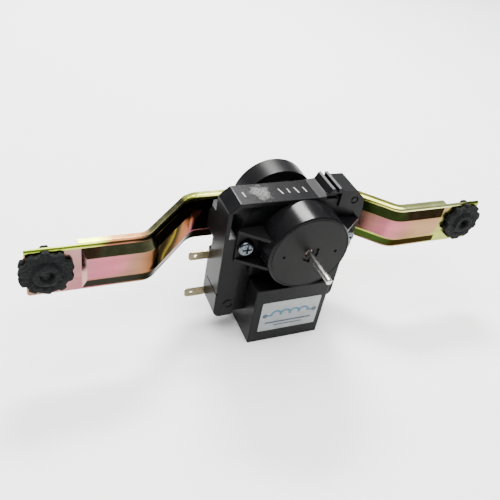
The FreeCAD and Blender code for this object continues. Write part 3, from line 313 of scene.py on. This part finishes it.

# Where each hue lies along the bracket, in millimetres from the shaft: chromate hues, with painted
# reflection, shade and highlights mixed in
# On the web, the near-black middle and the dark left jog with its gold streak are painted dark reflection and
# a painted highlight streak; the rose, clay and tan are chromate hues.
WEB_HUE_AND_REFLECTION_CAST = (
    (-119, CLAY), (-102, BLUSH), (-92, ROSE), (-84, ROSE), (-75, CLAY), (-67, AMBER), (-65, UMBER),
    (-60, UMBER), (-57.5, GOLD), (-55.5, UMBER), (-52, BRONZE), (-49, COPPER), (-45, COPPER), (-41, ROSE),
    (-39, SOOT), (0, PLUM), (38, PLUM), (48, CLAY), (57, ROSE), (63, ROSE), (72, TAN), (88, TAN), (96, SAGE),
    (119, SAGE))
# The flange's front margin and every upward-looking face: the pale straw is a painted highlight of the light
# above; the other tones are chromate hues.
RIM_HUE_AND_HIGHLIGHT_CAST = (
    (-119, LIME), (-97, LIME), (-91, SEPIA), (-80, SEPIA), (-75, DARK_OLIVE), (-53, DARK_OLIVE), (-47, OLIVE),
    (-39, SAGE), (0, SAGE), (34, STRAW), (52, STRAW), (68, PALE_STRAW), (98, PALE_STRAW), (104, OLIVE),
    (119, OLIVE))
# Painted shade and dark reflection on the rib's upper slope, tinted with the chromate's hues.
UPPER_SLOPE_SHADE_CAST = (
    (-119, BRONZE), (-95, BRONZE), (-91, SLATE), (-70, SLATE), (-62, BRONZE), (-44, BRONZE), (-39, SOOT),
    (0, SOOT), (38, MOSS), (48, LEAF), (62, LEAF), (68, BRONZE), (119, BRONZE))
# Painted shade and dark reflection on the rib's lower slope.
LOWER_SLOPE_SHADE_CAST = (
    (-119, GRAPHITE), (-70, GRAPHITE), (-62, SOOT), (0, SOOT), (36, MOSS), (62, MOSS), (70, UMBER),
    (119, UMBER))
# Painted highlight along the rib's rounded lower crest.
CREST_HIGHLIGHT_CAST = (
    (-119, ROSE), (-75, CLAY), (-66, AMBER), (-62, UMBER), (-40, ROSE), (0, CLAY), (40, STRAW), (56, STRAW),
    (64, TAN), (119, SAGE))
# The bracket's half length, and where the rib's pale-painted end faces begin
CAST_REACH = 119
RIB_END_X = 90
# How far a colour's front slants along the bracket for each millimetre of height
CAST_LEAN = -0.45
# Heights of the rib's lower fold and of the fold between the web and the upper flange
CREST_Z = -19.4
WEB_TOP_Z = -2.9
# How far faces look upward: from the flange's fold up they get the painted highlight, and between two limits
# the rib's slopes get painted shade
FOLD_FACING = 0.72
SLOPE_FACING = (0.2, 0.62)


def along(tree, cast):
    """Colours spread along the bracket, with an uneven, slanting front between one and the next."""
    place = xyz(tree)
    height = add(tree, "Math", (place["Z"], CREST_Z * MM), operation="SUBTRACT")
    leaning = add(tree, "Math", (height, CAST_LEAN, place["X"]), operation="MULTIPLY_ADD")
    wobbling = add(tree, "Math", (leaning, clouds(tree, 14.0, -2.5 * MM, 2.5 * MM, 2.0)), operation="ADD")
    share = add(tree, "MapRange", (wobbling, -CAST_REACH * MM, CAST_REACH * MM))
    stops = [((x_mm + CAST_REACH) / (2 * CAST_REACH), linear(code)) for x_mm, code in cast]
    return add(tree, "ValToRGB", (share,), stops=stops)


def yellow_chromate(sizes):
    """Zinc plate under yellow chromate: drifting pink, gold and green, with painted shade on the rib's slopes
    and painted highlights on its flange and lower crest.
    """
    material, tree, shader = start_material(
        "yellow_chromate_zinc", Metallic=1.0, Specular_Tint=(0.48, 0.48, 0.46, 1.0))
    height = xyz(tree)["Z"]
    facing = xyz(tree, "NewGeometry", "Normal")["Z"]
    shallow, steep = SLOPE_FACING
    web = window(tree, height, -OPEN, WEB_TOP_Z * MM, 0.3 * MM)
    # The rim is the flange's front margin and every upward-looking face; the upward faces take its pale
    # painted highlight.
    rim = add(tree, "Math", (1.0, web), operation="SUBTRACT")
    rim = add(tree, "Math", (rim, window(tree, facing, FOLD_FACING, OPEN, 0.1)), operation="MAXIMUM")
    # The rib's upper slope is painted dark: painted shade and dark reflection.
    upper_slope_shade = add(tree, "Math", (web, window(tree, facing, shallow, steep, 0.05)), operation="MULTIPLY")
    # The rib's downward-looking lower slope is painted dark: painted shade and dark reflection.
    lower_slope_shade = window(tree, facing, -steep, -shallow, 0.05)
    # A thin band at the lower crest's height carries the painted highlight.
    crest_highlight = window(tree, height, (CREST_Z - 0.5) * MM, (CREST_Z + 0.5) * MM, 0.25 * MM)
    base = along(tree, WEB_HUE_AND_REFLECTION_CAST)
    for share, cast in ((rim, RIM_HUE_AND_HIGHLIGHT_CAST), (upper_slope_shade, UPPER_SLOPE_SHADE_CAST), (lower_slope_shade, LOWER_SLOPE_SHADE_CAST), (crest_highlight, CREST_HIGHLIGHT_CAST)):
        base = add(tree, "Mix", {0: share, 6: base, 7: along(tree, cast)}, 2, data_type="RGBA")
    # The rib's end faces are painted pale: painted light that lifts the shade on them.
    aside = add(tree, "Math", (xyz(tree)["X"],), operation="ABSOLUTE")
    turned = add(tree, "Math", (xyz(tree, "NewGeometry", "Normal")["X"],), operation="ABSOLUTE")
    beyond = window(tree, aside, RIB_END_X * MM, OPEN, MM)
    ends = add(tree, "Math", (beyond, window(tree, turned, 0.3, OPEN, 0.1)), operation="MULTIPLY")
    base = add(tree, "Mix", {0: ends, 6: base, 7: linear(PETAL)}, 2, data_type="RGBA")
    hue = clouds(tree, sizes.chromate_mm, 0.485, 0.515, 2.5, (1, 1, 0.6))
    value = clouds(tree, 7.0, 0.88, 1.14, 4.0, (0.4, 0.4, 1.5), (0.02, 0, 0))
    drift = add(tree, "HueSaturation", {"Hue": hue, "Saturation": 1.05, "Value": value, "Color": base})
    tree.links.new(drift, shader["Base Color"])
    tree.links.new(clouds(tree, 5.0, 0.17, 0.26, 4.0), shader["Roughness"])
    raise_surface(tree, shader, clouds(tree, 1.5, 0.0, 1.0, 3.0, (0.3, 0.3, 1)), 0.0015)
    return material


def dusty_rubber(colours):
    """Black nitrile rubber with a bloom of dust: no gloss, pitted, paler where the dust sits."""
    material, tree, shader = start_material("dusty_black_rubber", IOR=1.52, Specular_IOR_Level=0.14)
    dust = two_tones(tree, 2.2, shade(colours.rubber, 0.35), colours.rubber, 5.0)
    tree.links.new(dust, shader["Base Color"])
    tree.links.new(clouds(tree, 1.2, 0.68, 0.95, 3.0), shader["Roughness"])
    raise_surface(tree, shader, clouds(tree, 1.6, 0.0, 1.0, 6.0), 0.4)
    return material


def plain_metal(name, light, dark, rough, cloud_mm, stretch=(1, 1, 1), depth_mm=0.004):
    """A metal surface: two close tones, a spread of roughness and fine tool marks along one axis."""
    material, tree, shader = start_material(name, Metallic=1.0)
    tree.links.new(two_tones(tree, cloud_mm, dark, light, 3.0, stretch), shader["Base Color"])
    uneven = clouds(tree, cloud_mm, rough * 0.8, rough * 1.25, 4.0, stretch, (0.03, 0, 0))
    tree.links.new(uneven, shader["Roughness"])
    raise_surface(tree, shader, clouds(tree, cloud_mm * 0.5, 0.0, 1.0, 3.0, stretch), depth_mm)
    return material


def plain_plastic(name, light, dark, rough, cloud_mm):
    """A moulded or woven non-metal inside the motor: two close tones and a dull, slightly uneven skin."""
    material, tree, shader = start_material(name, IOR=1.5)
    tree.links.new(two_tones(tree, cloud_mm, dark, light), shader["Base Color"])
    tree.links.new(clouds(tree, cloud_mm, rough - 0.08, rough + 0.08, 3.0), shader["Roughness"])
    raise_surface(tree, shader, clouds(tree, cloud_mm * 0.2, 0.0, 1.0, 3.0), 0.02)
    return material


def enamelled_wire(pitch_mm=0.6):
    """Enamelled copper wire wound along the bobbin: rows of glossy red-brown turns."""
    # Real wire of such a coil is about 0.2 mm thick; its rows are drawn coarser.
    material, tree, shader = start_material("enamelled_copper_wire", Metallic=1.0)
    turns = add(tree, "Math", (xyz(tree)["X"], math.pi / (pitch_mm * MM)), operation="MULTIPLY")
    ridge = add(tree, "Math", (add(tree, "Math", (turns,), operation="SINE"),), operation="ABSOLUTE")
    # The copper darkens into the grooves between turns and pales on their crowns: painted shade and painted
    # highlight.
    copper = add(tree, "Mix", {0: ridge, 6: linear("#4a1d10"), 7: linear("#b5623a")}, 2, data_type="RGBA")
    tree.links.new(copper, shader["Base Color"])
    tree.links.new(clouds(tree, 2.0, 0.25, 0.4), shader["Roughness"])
    raise_surface(tree, shader, ridge, 0.15)
    return material


# The label's plain pattern, in tenths of the label's height from its middle
LOOPS_X = (-3.9, -1.3, 1.3, 3.9)
LOOPS_Z = 0.4
LOOP_RADII = (1.0, 1.65)
LEAD_X = (5.0, 6.7)
LEAD_HALF = 0.3
DOTS_X = (-7.0, 7.0)
DOT_RADIUS = 0.7
# Each rule: height, half its length and half its width
RULES = ((-2.2, 6.6, 0.3), (-3.3, 4.0, 0.2))
DARK_INK = ("#0e2030", "#214058")


def printed_label(colours):
    """Silver film under a clear coat, printed with the sign for a coil, its two terminals and two rules."""
    material, tree, shader = start_material(
        "printed_label_film", IOR=1.5, Roughness=0.34, Metallic=0.25, Coat_Weight=0.2, Coat_Roughness=0.15)
    low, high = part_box("coil_label")
    middle = (low + high) / 2
    unit = (high.z - low.z) / 10
    soft = 0.1 * MM
    rise = add(tree, "Math", (xyz(tree)["Z"], middle.z + LOOPS_Z * unit), operation="SUBTRACT")
    across = add(tree, "Math", (xyz(tree)["X"], middle.x), operation="SUBTRACT")
    aside = add(tree, "Math", (across,), operation="ABSOLUTE")
    coil = 0.0
    for x in LOOPS_X:
        spot = (middle.x + x * unit, low.y, middle.z + LOOPS_Z * unit)
        turn = ring(tree, spot, LOOP_RADII[0] * unit, LOOP_RADII[1] * unit, soft)
        coil = add(tree, "Math", (coil, turn), operation="MAXIMUM")
    upper_half = window(tree, rise, -LEAD_HALF * unit, 5 * unit, soft)
    coil = add(tree, "Math", (coil, upper_half), operation="MULTIPLY")
    lead_length = window(tree, aside, LEAD_X[0] * unit, LEAD_X[1] * unit, soft)
    lead_width = window(tree, rise, -LEAD_HALF * unit, LEAD_HALF * unit, soft)
    leads = add(tree, "Math", (lead_length, lead_width), operation="MULTIPLY")
    coil = add(tree, "Math", (coil, leads), operation="MAXIMUM")
    marks = 0.0
    for x in DOTS_X:
        spot = (middle.x + x * unit, low.y, middle.z + LOOPS_Z * unit)
        dot = ring(tree, spot, -unit, DOT_RADIUS * unit, soft)
        marks = add(tree, "Math", (marks, dot), operation="MAXIMUM")
    for z, half, thick in RULES:
        z -= LOOPS_Z
        rule_width = window(tree, rise, (z - thick) * unit, (z + thick) * unit, soft)
        rule_length = window(tree, aside, -unit, half * unit, soft)
        rule = add(tree, "Math", (rule_width, rule_length), operation="MULTIPLY")
        marks = add(tree, "Math", (marks, rule), operation="MAXIMUM")
    worn = window(tree, clouds(tree, 1.4, 0.0, 1.0, 4.0), 0.04, OPEN, 0.1)
    film = two_tones(tree, 8.0, shade(colours.label, 0.72), colours.label)
    blue = two_tones(tree, 5.0, shade(colours.label_print, 0.45), colours.label_print)
    dark = two_tones(tree, 5.0, *(linear(code) for code in DARK_INK))
    for area, ink in ((coil, blue), (marks, dark)):
        share = add(tree, "Math", (area, worn), operation="MULTIPLY")
        film = add(tree, "Mix", {0: share, 6: film, 7: ink}, 2, data_type="RGBA")
    tree.links.new(film, shader["Base Color"])
    raise_surface(tree, shader, clouds(tree, 6.0, 0.0, 1.0), 0.03)
    return material


def dress(material, *names):
    """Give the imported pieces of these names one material."""
    for name in names:
        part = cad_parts[name]
        part.data.materials.clear()
        part.data.materials.append(material)


def values(context):
    """The scene's colours and sizes."""
    return context.scene.fan_motor_colours, context.scene.fan_motor_sizes


def camera_axes(heading, tilt, roll):
    """Right, up and back directions of a camera from its heading, downward tilt and roll in degrees."""
    h, t, r = (math.radians(value) for value in (heading, tilt, roll))
    ahead = Vector((math.sin(h) * math.cos(t), math.cos(h) * math.cos(t), -math.sin(t)))
    level = Vector((math.cos(h), -math.sin(h), 0))
    upright = level.cross(ahead)
    right = level * math.cos(r) + upright * math.sin(r)
    return right, right.cross(ahead), -ahead


# Each light: name, place and aim in metres, width and height in metres, power in watts
LIGHTS = (
    ("ceiling_panel", (0.0, 0.0, 1.3), (0, 0, 0), (1.6, 1.6), 72.0),
    ("rear_softbox", (0.12, 0.66, 0.67), (0, 0.01, 0.01), (0.34, 0.14), 19.0),
)
# Elevation of the room as the sine of its angle, with the grey of the wall there
ROOM = ((0.0, "#8c8d8f"), (0.2, "#8c8d8f"), (0.42, "#9c9d9f"), (0.55, "#b4b5b7"), (1.0, "#c8c9cb"))


def paint_room(tree):
    """A grey room that grows paler above, as round a lit table."""
    height = xyz(tree, "TexCoord", "Generated")["Z"]
    grey = add(tree, "ValToRGB", (height,), stops=[(rise, linear(code)) for rise, code in ROOM])
    tree.links.new(grey, tree.nodes["Background"].inputs["Color"])


CAMERA_PLACE_MM = (-125.36, -174.59, 162.56)
CAMERA_HEADING = 28.52
CAMERA_TILT = 38.05
CAMERA_ROLL = 11.32
CAMERA_LENS = 43.06
FLOOR_SIZE = 6.0
FLOOR_TONES = ("#f2f2f1", "#f6f6f5")
FLOOR_CLOUD_MM = 300.0


def area_light(name, place, aim, size, power):
    """A rectangular light that looks from its place to its aim."""
    data = bpy.data.lights.new(name, "AREA")
    data.shape = "RECTANGLE"
    data.size, data.size_y = size
    data.energy = power
    light = bpy.data.objects.new(name, data)
    light.location = place
    light.rotation_mode = "QUATERNION"
    light.rotation_quaternion = (Vector(aim) - Vector(place)).to_track_quat("-Z", "Y")
    bpy.context.scene.collection.objects.link(light)


class FANMOTOR_OT_stage(bpy.types.Operator):
    """Make the pale floor, the soft studio light and the camera"""
    bl_idname = "fanmotor.stage"
    bl_label = "Stage"

    def execute(self, context):
        low, high = CAD_BOUNDS
        mesh = bpy.data.meshes.new("floor")
        half = FLOOR_SIZE / 2
        corners = [(-half, -half, low.z), (half, -half, low.z), (half, half, low.z), (-half, half, low.z)]
        mesh.from_pydata(corners, [], [(0, 1, 2, 3)])
        floor = bpy.data.objects.new("floor", mesh)
        context.scene.collection.objects.link(floor)
        material, tree, shader = start_material("pale_paper_sweep", Roughness=0.9)
        tones = (linear(code) for code in FLOOR_TONES)
        tree.links.new(two_tones(tree, FLOOR_CLOUD_MM, *tones), shader["Base Color"])
        mesh.materials.append(material)
        world = bpy.data.worlds.new("studio")
        world.use_nodes = True
        paint_room(world.node_tree)
        context.scene.world = world
        for light in LIGHTS:
            area_light(*light)
        data = bpy.data.cameras.new("camera")
        data.lens = CAMERA_LENS
        data.sensor_width = 36.0
        data.clip_start = 0.01
        camera = bpy.data.objects.new("camera", data)
        right, up, back = camera_axes(CAMERA_HEADING, CAMERA_TILT, CAMERA_ROLL)
        turn = Matrix((right, up, back)).transposed().to_4x4()
        camera.matrix_world = Matrix.Translation(Vector(CAMERA_PLACE_MM) * MM) @ turn
        context.scene.collection.objects.link(camera)
        context.scene.camera = camera
        return {"FINISHED"}


class FANMOTOR_OT_housings(bpy.types.Operator):
    """Finish the front housing and the rear cap"""
    bl_idname = "fanmotor.housings"
    bl_label = "Housings"

    def execute(self, context):
        colours, sizes = values(context)
        dress(satin_abs(colours, sizes, "glossy_black_abs", 0.2), "front_housing")
        dress(satin_abs(colours, sizes, "satin_black_abs", 0.36), "rear_cap")
        return {"FINISHED"}


class FANMOTOR_OT_frames(bpy.types.Operator):
    """Finish the strap frame with its marks, the latch frame, the rear housing and the coil's mouldings"""
    bl_idname = "fanmotor.frames"
    bl_label = "Frames"

    def execute(self, context):
        colours, sizes = values(context)
        dress(moulded_nylon(colours, sizes, "moulded_black_nylon_strap", marked=True), "strap_frame")
        dress(moulded_nylon(colours, sizes), "latch_frame", "rear_housing", "coil_cover", "terminal_block")
        return {"FINISHED"}


class FANMOTOR_OT_stack(bpy.types.Operator):
    """Finish the lamination stack, its closing bar and the shading rings"""
    bl_idname = "fanmotor.stack"
    bl_label = "Stack"

    def execute(self, context):
        colours, sizes = values(context)
        dress(painted_laminations(colours, sizes), "stator_core", "core_bar")
        copper = plain_metal("bare_copper_ring", linear("#c27a52"), linear("#8c4a2c"), 0.3, 2.0)
        dress(copper, "shading_ring_left", "shading_ring_right")
        return {"FINISHED"}


class FANMOTOR_OT_coil(bpy.types.Operator):
    """Finish the bobbin, the winding, the label and the tabs"""
    bl_idname = "fanmotor.coil"
    bl_label = "Coil"

    def execute(self, context):
        colours, sizes = values(context)
        bobbin = plain_plastic("natural_nylon_bobbin", linear("#d8d3bf"), linear("#c4bda5"), 0.5, 4.0)
        dress(bobbin, "coil_bobbin")
        dress(enamelled_wire(), "coil_winding")
        dress(printed_label(colours), "coil_label")
        tin = plain_metal("tinned_brass_tab", colours.tab, shade(colours.tab, 0.6), 0.36, 1.6)
        dress(tin, "terminal_upper", "terminal_lower")
        return {"FINISHED"}


# Grinding and turning leave fine rings round the shaft's axis: coarse round it and fine along it.
TURNED_RINGS = (0.4, 3.0, 0.4)


class FANMOTOR_OT_rotor(bpy.types.Operator):
    """Finish the shaft, the rotor and the bearings"""
    bl_idname = "fanmotor.rotor"
    bl_label = "Rotor and bearings"

    def execute(self, context):
        steel = plain_metal(
            "ground_steel_shaft", linear("#c4c2be"), linear("#a3a19e"), 0.3, 0.8, TURNED_RINGS, 0.001)
        dress(steel, "shaft", "front_bearing_clip", "rear_bearing_clip")
        blued = plain_metal("blued_silicon_steel", linear("#5b6067"), linear("#33373d"), 0.4, 2.0)
        dress(blued, "rotor_core")
        cast = plain_metal("cast_aluminium_cage", linear("#c9cbcd"), linear("#94979a"), 0.45, 1.5)
        dress(cast, "rotor_cage")
        brass = plain_metal("turned_brass", linear("#c9a85e"), linear("#9c7d3c"), 0.3, 1.0, TURNED_RINGS)
        dress(brass, "rotor_spacer_front", "rotor_spacer_rear")
        nylon = plain_plastic("natural_nylon_washer", linear("#e0dccb"), linear("#cbc5b0"), 0.45, 2.0)
        dress(nylon, "thrust_washer_front", "thrust_washer_rear")
        bronze = plain_metal(
            "oiled_sintered_bronze", linear("#9a7044"), linear("#5f4226"), 0.45, 0.6, depth_mm=0.03)
        dress(bronze, "front_bearing", "rear_bearing")
        felt = plain_plastic("oiled_wool_felt", linear("#a59a7d"), linear("#7c7156"), 0.85, 1.2)
        dress(felt, "front_oil_felt", "rear_oil_felt")
        return {"FINISHED"}


class FANMOTOR_OT_bracket(bpy.types.Operator):
    """Finish the folded strap bracket"""
    bl_idname = "fanmotor.bracket"
    bl_label = "Bracket"

    def execute(self, context):
        sizes = context.scene.fan_motor_sizes
        dress(yellow_chromate(sizes), "mounting_bracket")
        return {"FINISHED"}


# A grommet as it is moulded, in millimetres: heights of its parts from the front on, and radii
RING_PROUD = 1.2
FRONT_FLANGE = 3.0
PAD_SHEET = 1.0
RING_RADIUS = 5.6
BORE_RADIUS = 3.0
NECK_RADIUS = 7.48
EDGE_ROUND = 0.6
# The shallow groove round the front ring: steps outward from the ring, and depths below the flange's face
RIPPLE_RADII = (0.5, 1.2)
RIPPLE_DEPTHS = (0.35, 0.3)
FACE_RADIUS = 1.9
FACE_DEPTH = 0.05
RING_DEPTH = 0.1
# Points round each loop of the skin
GROMMET_STEPS = 260
# A tooth's width and height as shares of its pitch and of the full height, and how much either varies
TOOTH_WIDTH = (0.50, 0.26)
TOOTH_TIP = (0.74, 0.36)
FLANK_START = 0.16
FLANK_WIDTH = 0.26
# Waves of wear in each millimetre, and the wear of the flat face as a share of the rim's
WEAR_PER_MM = 0.45
FACE_WEAR = 0.4
FIRST_SEED = 1.5


def toothed(angle, teeth, height, seed):
    """How far the rim stands over its root at an angle, 0 to height, uneven from tooth to tooth."""
    turn = (angle / (2 * math.pi) * teeth) % teeth
    index = int(turn)
    place = abs(turn - index - 0.5) * 2
    width = TOOTH_WIDTH[0] + TOOTH_WIDTH[1] * noise.noise(Vector((index * 3.1, seed, 0.5)))
    shape = min(1.0, max(0.0, (width + FLANK_START - place) / FLANK_WIDTH))
    shape = shape * shape * (3 - 2 * shape)
    return height * shape * (TOOTH_TIP[0] + TOOTH_TIP[1] * noise.noise(Vector((seed, index * 1.7, 2.5))))


def grommet_stations(depth, root):
    """Radius, whether the teeth reach there, and depth of each ring of points, all in millimetres."""
    face = RING_PROUD
    pad = RING_PROUD + FRONT_FLANGE
    back = pad + PAD_SHEET
    e = EDGE_ROUND
    nose = [(BORE_RADIUS, 0, e), (BORE_RADIUS + 0.2 * e, 0, 0.3 * e), (BORE_RADIUS + e, 0, 0.0)]
    nose += [(RING_RADIUS - e, 0, 0.0), (RING_RADIUS - 0.2 * e, 0, 0.25 * e)]
    nose += [(RING_RADIUS, 0, face - RING_DEPTH)]
    nose += [(RING_RADIUS + out, 0, face + down) for out, down in zip(RIPPLE_RADII, RIPPLE_DEPTHS)]
    nose += [(RING_RADIUS + FACE_RADIUS, 0, face), (root * 0.88, 0, face + FACE_DEPTH)]
    front = [(root - e, 0.5, face + FACE_DEPTH), (root - 0.3 * e, 0.9, face + 0.2 * e), (root, 1, face + e)]
    front += [(root, 1, (face + pad) / 2), (root, 1, pad - e), (root - 0.3 * e, 0.9, pad - 0.2 * e)]
    front += [(root - e, 0.5, pad)]
    neck = [(NECK_RADIUS, 0, pad), (NECK_RADIUS, 0, back)]
    rear = [(root - e, 0.5, back), (root - 0.3 * e, 0.9, back + 0.2 * e), (root, 1, back + e)]
    rear += [(root, 1, depth - e), (root - 0.3 * e, 0.9, depth - 0.2 * e), (root - e, 0.5, depth)]
    rear += [(root * 0.8, 0, depth), (BORE_RADIUS + e, 0, depth), (BORE_RADIUS, 0, depth - e)]
    return nose + front + neck + rear


def build_grommet(node_name, piece_name, sizes, seed):
    """A worn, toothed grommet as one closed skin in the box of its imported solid."""
    low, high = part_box(node_name)
    middle = (low + high) / 2
    depth = (high.y - low.y) / MM
    tip = min(high.x - low.x, high.z - low.z) / 2 / MM
    root = tip - sizes.tooth_height / MM
    form = bmesh.new()
    loops = []
    for radius, share, y in grommet_stations(depth, root):
        loop = []
        for step in range(GROMMET_STEPS):
            angle = 2 * math.pi * step / GROMMET_STEPS
            reach = radius + share * toothed(angle, sizes.grommet_teeth, sizes.tooth_height / MM, seed)
            spot = Vector((reach * math.cos(angle), y, reach * math.sin(angle)))
            wear = max(0.0, noise.fractal(spot * WEAR_PER_MM + Vector((seed * 7.0, 0, 0)), 0.8, 2.0, 3))
            if radius > BORE_RADIUS + 0.1:
                inward = Vector((-math.cos(angle), 0, -math.sin(angle))) * share
                inward.y = (1 - share) * (FACE_WEAR if y < depth * 0.4 else 0.0)
                spot += inward * wear * sizes.grommet_wear / MM
            point = Vector((middle.x, low.y, middle.z)) + spot * MM
            loop.append(form.verts.new(point))
        loops.append(loop)
    for first, second in zip(loops, loops[1:] + loops[:1]):
        for step in range(GROMMET_STEPS):
            after = (step + 1) % GROMMET_STEPS
            form.faces.new((first[step], second[step], second[after], first[after]))
    bmesh.ops.recalc_face_normals(form, faces=form.faces)
    mesh = bpy.data.meshes.new(piece_name)
    form.to_mesh(mesh)
    form.free()
    for face in mesh.polygons:
        face.use_smooth = True
    piece = bpy.data.objects.new(piece_name, mesh)
    bpy.context.scene.collection.objects.link(piece)
    return piece


class FANMOTOR_OT_grommets(bpy.types.Operator):
    """Model the worn, toothed rubber grommets in place of their plain solids"""
    bl_idname = "fanmotor.grommets"
    bl_label = "Grommets"

    def execute(self, context):
        colours, sizes = values(context)
        rubber = dusty_rubber(colours)
        for seed, side in enumerate(("left", "right")):
            piece = build_grommet(f"grommet_{side}", f"rubber_grommet_{side}", sizes, seed + FIRST_SEED)
            piece.data.materials.append(rubber)
            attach(piece, "motor")
            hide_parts(f"grommet_{side}")
        return {"FINISHED"}


class FANMOTOR_OT_fasteners(bpy.types.Operator):
    """Finish the screws and nuts"""
    bl_idname = "fanmotor.fasteners"
    bl_label = "Fasteners"

    def execute(self, context):
        zinc = plain_metal(
            "bright_zinc_plate", linear("#687074"), linear("#2a2f33"), 0.22, 1.0, depth_mm=0.015)
        for kind in ("clamp_screw", "clamp_nut", "bracket_screw"):
            dress(zinc, f"{kind}_left", f"{kind}_right")
        return {"FINISHED"}


STEPS = (FANMOTOR_OT_stage, FANMOTOR_OT_housings, FANMOTOR_OT_frames, FANMOTOR_OT_stack, FANMOTOR_OT_coil,
         FANMOTOR_OT_rotor, FANMOTOR_OT_bracket, FANMOTOR_OT_grommets, FANMOTOR_OT_fasteners)


class FANMOTOR_PT_panel(bpy.types.Panel):
    """Lists the motor's pieces and its sizes and colours"""
    bl_idname = "FANMOTOR_PT_panel"
    bl_label = "Freezer Fan Motor"
    bl_space_type = "VIEW_3D"
    bl_region_type = "UI"
    bl_category = "Fan Motor"

    def draw(self, context):
        for step in STEPS:
            self.layout.operator(step.bl_idname)
        for group in (context.scene.fan_motor_sizes, context.scene.fan_motor_colours):
            for name in group.__annotations__:
                self.layout.prop(group, name)


CLASSES = (FanMotorSizes, FanMotorColours, *STEPS, FANMOTOR_PT_panel)


def register():
    for made in CLASSES:
        bpy.utils.register_class(made)
    bpy.types.Scene.fan_motor_sizes = bpy.props.PointerProperty(type=FanMotorSizes)
    bpy.types.Scene.fan_motor_colours = bpy.props.PointerProperty(type=FanMotorColours)


def unregister():
    del bpy.types.Scene.fan_motor_colours
    del bpy.types.Scene.fan_motor_sizes
    for made in reversed(CLASSES):
        bpy.utils.unregister_class(made)


def main():
    """Build the whole model."""
    register()
    for step in STEPS:
        family, name = step.bl_idname.split(".")
        getattr(getattr(bpy.ops, family), name)()


if __name__ == "__main__":
    main()
